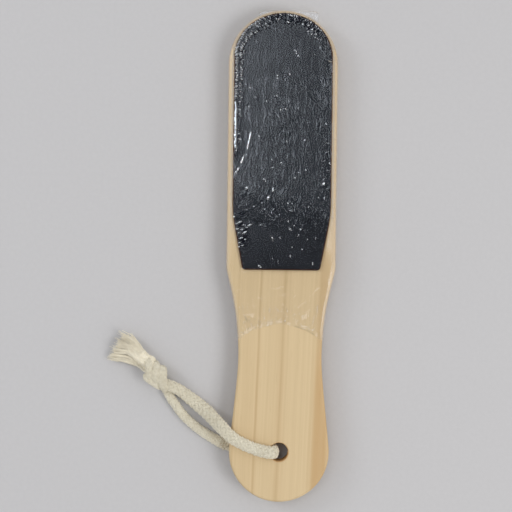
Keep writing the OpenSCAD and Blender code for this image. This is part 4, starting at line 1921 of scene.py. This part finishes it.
    def _lower_left(self, chance: random.Random) -> tuple[list[Pinch], list[Pinch]]:
        """Slanting bars at the lower left of the sheet, and flat spots of painted shade between them.

        Args:
            chance: Source of the irregularities.

        Returns:
            The bars and the spots of painted shade.
        """
        glints = [
            (-24.0, 19.6, 1.2), (-21.2, 17.0, 2.2), (-22.5, 13.4, 1.6), (-20.2, 13.2, 1.3),
            (-18.8, 11.7, 2.4), (-16.0, 15.6, 2.6), (-21.9, 11.5, 1.1), (-20.6, 8.9, 2.0),
            (-21.3, 6.5, 1.7), (-19.5, 5.1, 1.2), (-21.4, 4.4, 0.9), (-17.6, 14.3, 1.0),
            (-19.4, 15.4, 0.9), (-18.4, 8.2, 0.9), (-22.9, 16.2, 1.0),
        ]
        bars, shade_spots = [], []
        for glint in glints:
            turn = chance.uniform(-70, -54)
            bars.append(Pinch.drawn(chance, *glint, (0.55, 0.8), turn, (0.10, 0.13)))
        # Flat spots of painted shade between the slanting bars.
        for _ in range(26):
            y = chance.uniform(4.0, 24.0)
            x = -22.9 + 0.16 * (25.0 - y) + abs(chance.gauss(0, 2.2))
            width = chance.uniform(0.35, 0.6)
            shade_spots.append(Pinch.drawn(chance, x, y, (1.5, 4.5), width, (-72, -52), self.flat))
        return bars, shade_spots

    def _ripples(self, chance: random.Random) -> tuple[list[Pinch], list[Pinch]]:
        """Slanting ripples at the right edge, and small pinches strewn over the rest, with flat spots of
        painted shade for the dents and folds.

        Args:
            chance: Source of the irregularities.

        Returns:
            The ripples, and the spots of painted shade.
        """
        ripples, shade_spots = [], []
        for k in range(22):
            x, y = chance.uniform(20.0, 23.4), 34 + 1.15 * k
            turn = -62 + chance.uniform(-10, 10)
            # Painted shade between the ripples at the right edge.
            shade_spots.append(Pinch.drawn(chance, x, y, (2.0, 4.0), 0.45, turn, self.flat))
            if k % 4 == 0:
                ripples.append(Pinch.drawn(chance, x, y + 0.5, (1.0, 2.0), 0.40, turn, 0.05))
        for _ in range(24):
            at = chance.uniform(-22, 22), chance.uniform(26, 108)
            ripples.append(Pinch.drawn(chance, *at, (0.6, 1.3), (0.45, 0.6), (-40, 40), (0.05, 0.09)))
        for _ in range(90):
            x, y = chance.uniform(-21, 21), chance.gauss(23.0, 4.0)
            slant = chance.uniform(-80, -30) if x < -6 else chance.uniform(-60, 60)
            # Painted shade of a strewn dent.
            shade_spots.append(Pinch.drawn(chance, x, y, (1.0, 3.2), (0.5, 0.9), slant, self.flat))
            if chance.random() < 0.12:
                ripples.append(Pinch.drawn(chance, x, y + 0.7, (0.7, 1.6), (0.4, 0.5), slant, 0.04))
        for _ in range(14):
            at = chance.uniform(-18, 18), chance.uniform(-6, 18)
            ripples.append(Pinch.drawn(chance, *at, (0.7, 1.8), (0.3, 0.4), (-25, 25), (0.03, 0.05)))
        # Painted shade of the larger folds, as flat spots.
        folds = [
            (1.2, 92.5, 5.2, 0.55, 78), (0.2, 90.7, 3.4, 0.5, 84), (-0.2, 81.5, 4.2, 0.7, 94),
            (0.8, 76.3, 2.6, 0.8, 72), (-1.6, 74.9, 1.4, 0.7, 100), (-6.6, 38.8, 2.8, 0.8, -60),
            (-7.6, 30.6, 2.0, 0.8, -35), (-3.6, 34.6, 2.0, 0.7, -20),
        ]
        return ripples, shade_spots + [Pinch(*fold, self.flat) for fold in folds]

    def _mouth(self, chance: random.Random) -> list[Pinch]:
        """Puckers that run into the film's open end, denser at the left.

        Args:
            chance: Source of the irregularities.

        Returns:
            The puckers.
        """
        puckers = []
        side = self.film.outline.at(self.film.ribs) / MM
        rise = self.film.mouth_rise / MM
        for _ in range(90):
            share = chance.uniform(-0.93, 0.1) if chance.random() < 0.7 else chance.uniform(0.1, 0.8)
            above = 0.5 + abs(chance.gauss(0, 1.2)) if chance.random() < 0.6 else 6.5 + chance.gauss(0, 1.6)
            at = side.x * share, side.y + rise * (1 - share ** 2) + above
            lean = -38 * share - 40, -38 * share + 40
            puckers.append(Pinch.drawn(chance, *at, (0.8, 2.2), (0.4, 0.7), lean, (0.05, 0.10)))
        folds = [
            (-19.0, -27, 5, 10), (-17.5, -32, 5, 30), (-13.5, -36, 5, 50), (16.5, -33, 6, -12),
            (18.4, -28, 7, -6), (-19.4, -25.6, 1.1, 80), (-16.9, -26.4, 1.6, 5),
            (-8.4, -27.3, 1.8, -40), (-5.0, -27.6, 1.3, 70), (-2.6, -26.8, 2.2, -20),
            (-1.2, -28.0, 1.2, 30), (-8.2, -34.2, 1.8, -62), (-6.6, -35.4, 2.6, -70),
            (-4.4, -34.6, 1.6, -50), (-18.4, -34.0, 2.6, -55), (-16.4, -37.2, 2.4, -50),
        ]
        return puckers + [Pinch(x, y, length, 0.8, turn, 0.09) for x, y, length, turn in folds]

    def _lip_shade(self) -> list[Pinch]:
        """Painted shade: a thin dark line along the right part of the open end."""
        line = [(8.6, -36.0, 76), (11.3, -36.9, 70), (13.9, -38.0, 64), (16.2, -39.4, 58)]
        return [Pinch(x, y, 3.0, 0.9, turn, self.flat) for x, y, turn in line]

    def _inside(self, spot: Pinch) -> bool:
        """Whether a pinch lies flat on the sheet or the neck.

        Args:
            spot: The pinch.

        Returns:
            Whether it does.
        """
        if spot.y > self.end_y:
            half, length = self.end_half - self.end_inset, self.end_l - self.end_inset
            return (spot.x / half) ** 2 + ((spot.y - self.end_y) / length) ** 2 < 1
        y = spot.y * MM
        half = self.film.sheet_half(y) / MM if y > self.film.foot_y else self.neck_half
        return abs(spot.x) < half - self.side_inset

    @staticmethod
    def _dome() -> bpy.types.Mesh:
        """The upper half of a ball of radius one.

        Returns:
            Its mesh.
        """
        ball = bmesh.new()
        bmesh.ops.create_uvsphere(ball, u_segments=10, v_segments=8, radius=1.0)
        buried = [v for v in ball.verts if v.co.z < -0.01]
        bmesh.ops.delete(ball, geom=buried, context="VERTS")
        dome = bpy.data.meshes.new("dome")
        ball.to_mesh(dome)
        ball.free()
        return dome

    def _piece(
        self, name: str, spots: list[Pinch], below: list[Pinch], material: bpy.types.Material
    ) -> None:
        """Builds pinches as one piece.

        Args:
            name: The piece's name.
            spots: Those on the front.
            below: Those on the back.
            material: Their finish.
        """
        bm = bmesh.new()
        levels = self.film.levels
        gap = levels.film_gap + levels.film_t / 2
        lean = levels.on_rest(self.film.outline.hole_y)
        dome = self._dome()
        for spot, side in [(p, 1) for p in spots] + [(p, -1) for p in below]:
            if not self._inside(spot):
                continue
            level = self.film.level(spot.y * MM) + gap
            z = level if side > 0 else 2 * levels.mid_z - level
            place = Matrix.Translation((spot.x * MM, spot.y * MM, z))
            turn = Matrix.Rotation(math.radians(spot.turn), 4, "Z")
            size = Matrix.Diagonal((spot.width * MM / 2, spot.length * MM / 2, spot.height * MM * side, 1))
            before = len(bm.verts)
            bm.from_mesh(dome)
            bm.verts.ensure_lookup_table()
            bmesh.ops.transform(bm, matrix=lean @ place @ turn @ size, verts=bm.verts[before:])
            if side < 0:
                faces = {f for v in bm.verts[before:] for f in v.link_faces}
                bmesh.ops.reverse_faces(bm, faces=list(faces))
        bpy.data.meshes.remove(dome)
        settle(to_object(bm, name, material), Body.PADDLE, "film")

    def build(self, bright: bpy.types.Material, faint: bpy.types.Material) -> None:
        """Builds the pinches of the sheet and the neck, with fewer on the back, and the painted shade of the
        folds.

        Args:
            bright: Finish of the pinches over the grit.
            faint: Finish of those over the bare wood.
        """
        chance = random.Random(self.seed)
        arcs, arc_shade_spots = self._arcs(chance)
        bars, bar_shade_spots = self._lower_left(chance)
        ripples, shade_spots = self._ripples(chance)
        loose = self._left_band(chance) + arcs + bars + ripples
        behind = [replace(p, height=self.behind_h) for p in loose[::2]]
        self._piece("film_puckers", self._chosen() + loose, behind, bright)
        self._piece("film_wrinkles", self._mouth(chance), [], faint)
        # Flat spots of painted shade for the film's folds, its dents and the line along its open end.
        self._piece("film_fold_painted_shade", arc_shade_spots + bar_shade_spots, [], self.shade.material())
        self._piece("film_dent_painted_shade", shade_spots, [], self.dent_shade_finish.material())
        self._piece("film_lip_line", self._lip_shade(), [], self.lip_shade_finish.material())


# Sheets


@dataclass
class Sheets:
    """Finishes of the carried-over abrasive sheets, whose outline the film knows, and of their glue."""

    film: Film
    front: GritFinish = GritFinish(
        "coarse_grit", (0.005, 0.0058, 0.008), (0.0185, 0.021, 0.028), size=0.00042, height=0.00008
    )
    rear: GritFinish = GritFinish(
        "fine_grit", (0.014, 0.015, 0.019), (0.042, 0.044, 0.052), size=0.00022, height=0.00007
    )
    glue: GlueFinish = GlueFinish()

    def _rim(self, t: Nodes) -> Wire:
        """Distance from a sheet's cut edge.

        Args:
            t: The tree that it is worked out in.

        Returns:
            The distance, inwards.
        """
        film = self.film
        x, y, _ = t.split(t.place())
        slope = (film.sheet_w - film.foot_w) / 2 / film.taper_l
        half = ((y - film.foot_y) * slope + film.foot_w / 2).call("MINIMUM", film.sheet_w / 2)
        beside = half - x.call("ABSOLUTE")
        across = x / (film.sheet_w / 2)
        along = (y - film.sheet_end_y).call("MAXIMUM", 0.0) / film.sheet_end_l
        beyond = (1 - (across * across + along * along).call("SQRT")) * film.sheet_end_l
        beyond = beyond + t.step(y, film.sheet_end_y, film.sheet_end_y + 0.001, 1.0, 0.0)
        return beside.call("MINIMUM", beyond).call("MINIMUM", y - film.foot_y)

    def build(self, nodes: dict[str, bpy.types.Object]) -> None:
        """Dresses the frame's sheets.

        Args:
            nodes: The frame's nodes by name.
        """
        glue = self.glue.material()
        finishes = {
            "front_abrasive": self.front.material(self._rim),
            "rear_abrasive": self.rear.material(self._rim),
            "front_adhesive": glue,
            "rear_adhesive": glue,
        }
        for name, material in finishes.items():
            mesh = nodes[name].data
            mesh.materials.clear()
            mesh.materials.append(material)
            log.info("%s: dressed with %s", name, material.name)


# Studio


@dataclass
class Studio:
    """Camera, lamps, world and floor.

    Attributes:
        middle: What the camera looks at.
        distance: Height of the camera above it.
        span: Width of the picture there.
        roll: Turn of the camera about its axis, in degrees.
    """

    middle: Triple = (-0.0128, -0.0001, 0.0112)
    distance: float = 0.62
    span: float = 0.2601
    roll: float = 0.69

    SENSOR = 36.0

    def camera(self) -> None:
        """Builds the camera straight above the file."""
        data = bpy.data.cameras.new("overhead")
        data.sensor_width = self.SENSOR
        data.lens = self.SENSOR * self.distance / self.span
        data.clip_start, data.clip_end = 0.01, 20.0
        camera = bpy.data.objects.new("overhead", data)
        camera.location = Vector(self.middle) + Vector((0, 0, self.distance))
        camera.rotation_euler = (0, 0, math.radians(self.roll))
        bpy.context.scene.collection.objects.link(camera)
        bpy.context.scene.camera = camera

    @staticmethod
    def _lamp(name: str, at: Triple, size: Size, watts: float, colour: Colour) -> None:
        """Adds one soft rectangular lamp that faces the file.

        Args:
            name: Its name.
            at: Its place.
            size: Its width and height.
            watts: Its power.
            colour: Its colour.
        """
        data = bpy.data.lights.new(name, "AREA")
        data.shape = "RECTANGLE"
        data.size, data.size_y = size
        data.energy = watts
        data.color = colour
        lamp = bpy.data.objects.new(name, data)
        lamp.location = at
        lamp.rotation_euler = (-Vector(at)).to_track_quat("-Z", "Y").to_euler()
        bpy.context.scene.collection.objects.link(lamp)

    def light(self) -> None:
        """Lights the file softly from the right, and less from the left."""
        self._lamp("soft_right", (0.85, -0.35, 1.05), (0.6, 0.6), 6.5, (1.0, 0.985, 0.96))
        self._lamp("soft_left", (-0.85, 0.38, 0.62), (0.25, 0.40), 2.3, (0.96, 0.98, 1.0))

    @staticmethod
    def world() -> None:
        """A pale room, brighter at the right, with a bright and a dark field overhead."""
        world = bpy.data.worlds.new("pale_room")
        bpy.context.scene.world = world
        t = Nodes(world)
        x, y, z = t.split(t.add("ShaderNodeTexCoord", {}, {}, "Generated"))
        aside = x.call("ABSOLUTE")
        bright = t.step(x, -0.06, 0.09, 1.0, 0.08) * t.step(x, 0.16, 0.30, 1.0, 0.0)
        bright = bright * t.step(x, -0.65, -0.50, 0.0, 0.6) * t.step(x, -0.30, -0.18, 1.0, 1.66)
        bright = bright * t.step(y, 0.026, 0.064) * t.step(y, 0.34, 0.46, 1.0, 0.0) * t.step(z, 0.5, 0.6)
        dark = t.step(z, 0.80, 0.88) * t.step(y, 0.34, 0.46, 1.0, 0.0) * t.step(aside, 0.42, 0.55, 1.0, 0.0)
        room = t.mixed(x * 0.5 + 0.5, (0.54, 0.545, 0.55), (0.82, 0.825, 0.83))
        room = t.mixed(bright, t.mixed(dark, room, (0.02, 0.02, 0.025)), (2.5, 2.57, 2.7))
        seen = t.add("ShaderNodeLightPath", {}, {}, "Is Camera Ray")
        colour = t.mixed(seen, room, (0.86, 0.86, 0.86))
        t.finish(t.add("ShaderNodeBackground", {}, {"Color": colour, "Strength": 1.0}))

    @staticmethod
    def floor() -> None:
        """A plain pale floor under the file."""
        bm = bmesh.new()
        bmesh.ops.create_grid(bm, x_segments=4, y_segments=4, size=3.0)
        t = new_tree("pale_floor")
        mottle = t.grainy(t.place(), 500.0, 2.0)
        colour = t.mixed(mottle, (0.555, 0.545, 0.55), (0.590, 0.580, 0.585))
        t.finish(t.surface(colour, 0.85, t.bumped(mottle, 0.00002), Specular_IOR_Level=0.2))
        to_object(bm, "floor", t.owner)

    def build(self) -> None:
        """Sets the scene round the file."""
        self.floor()
        self.light()
        self.world()
        bpy.context.scene.view_settings.view_transform = "Standard"
        log.info("studio: camera %.2f m above the file", self.distance)


def main() -> None:
    """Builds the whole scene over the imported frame, with a fixed start of the vector noise."""
    logging.basicConfig(level=logging.INFO, format="%(name)s: %(message)s")
    noise.seed_set(NOISE_START)
    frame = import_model()
    studio = Studio()
    studio.camera()
    frayed = CottonFinish("cotton_brush", light=(0.97, 0.91, 0.76), shade=(0.84, 0.76, 0.59))
    Cord(CordPlan(), CottonFinish(), frayed).build()
    outline, levels = Outline(), Levels()
    Paddle(outline, levels).build()
    film = Film(outline, levels)
    Sheets(film).build(frame["nodes"])
    film.build()
    studio.build()


if __name__ == "__main__":
    main()
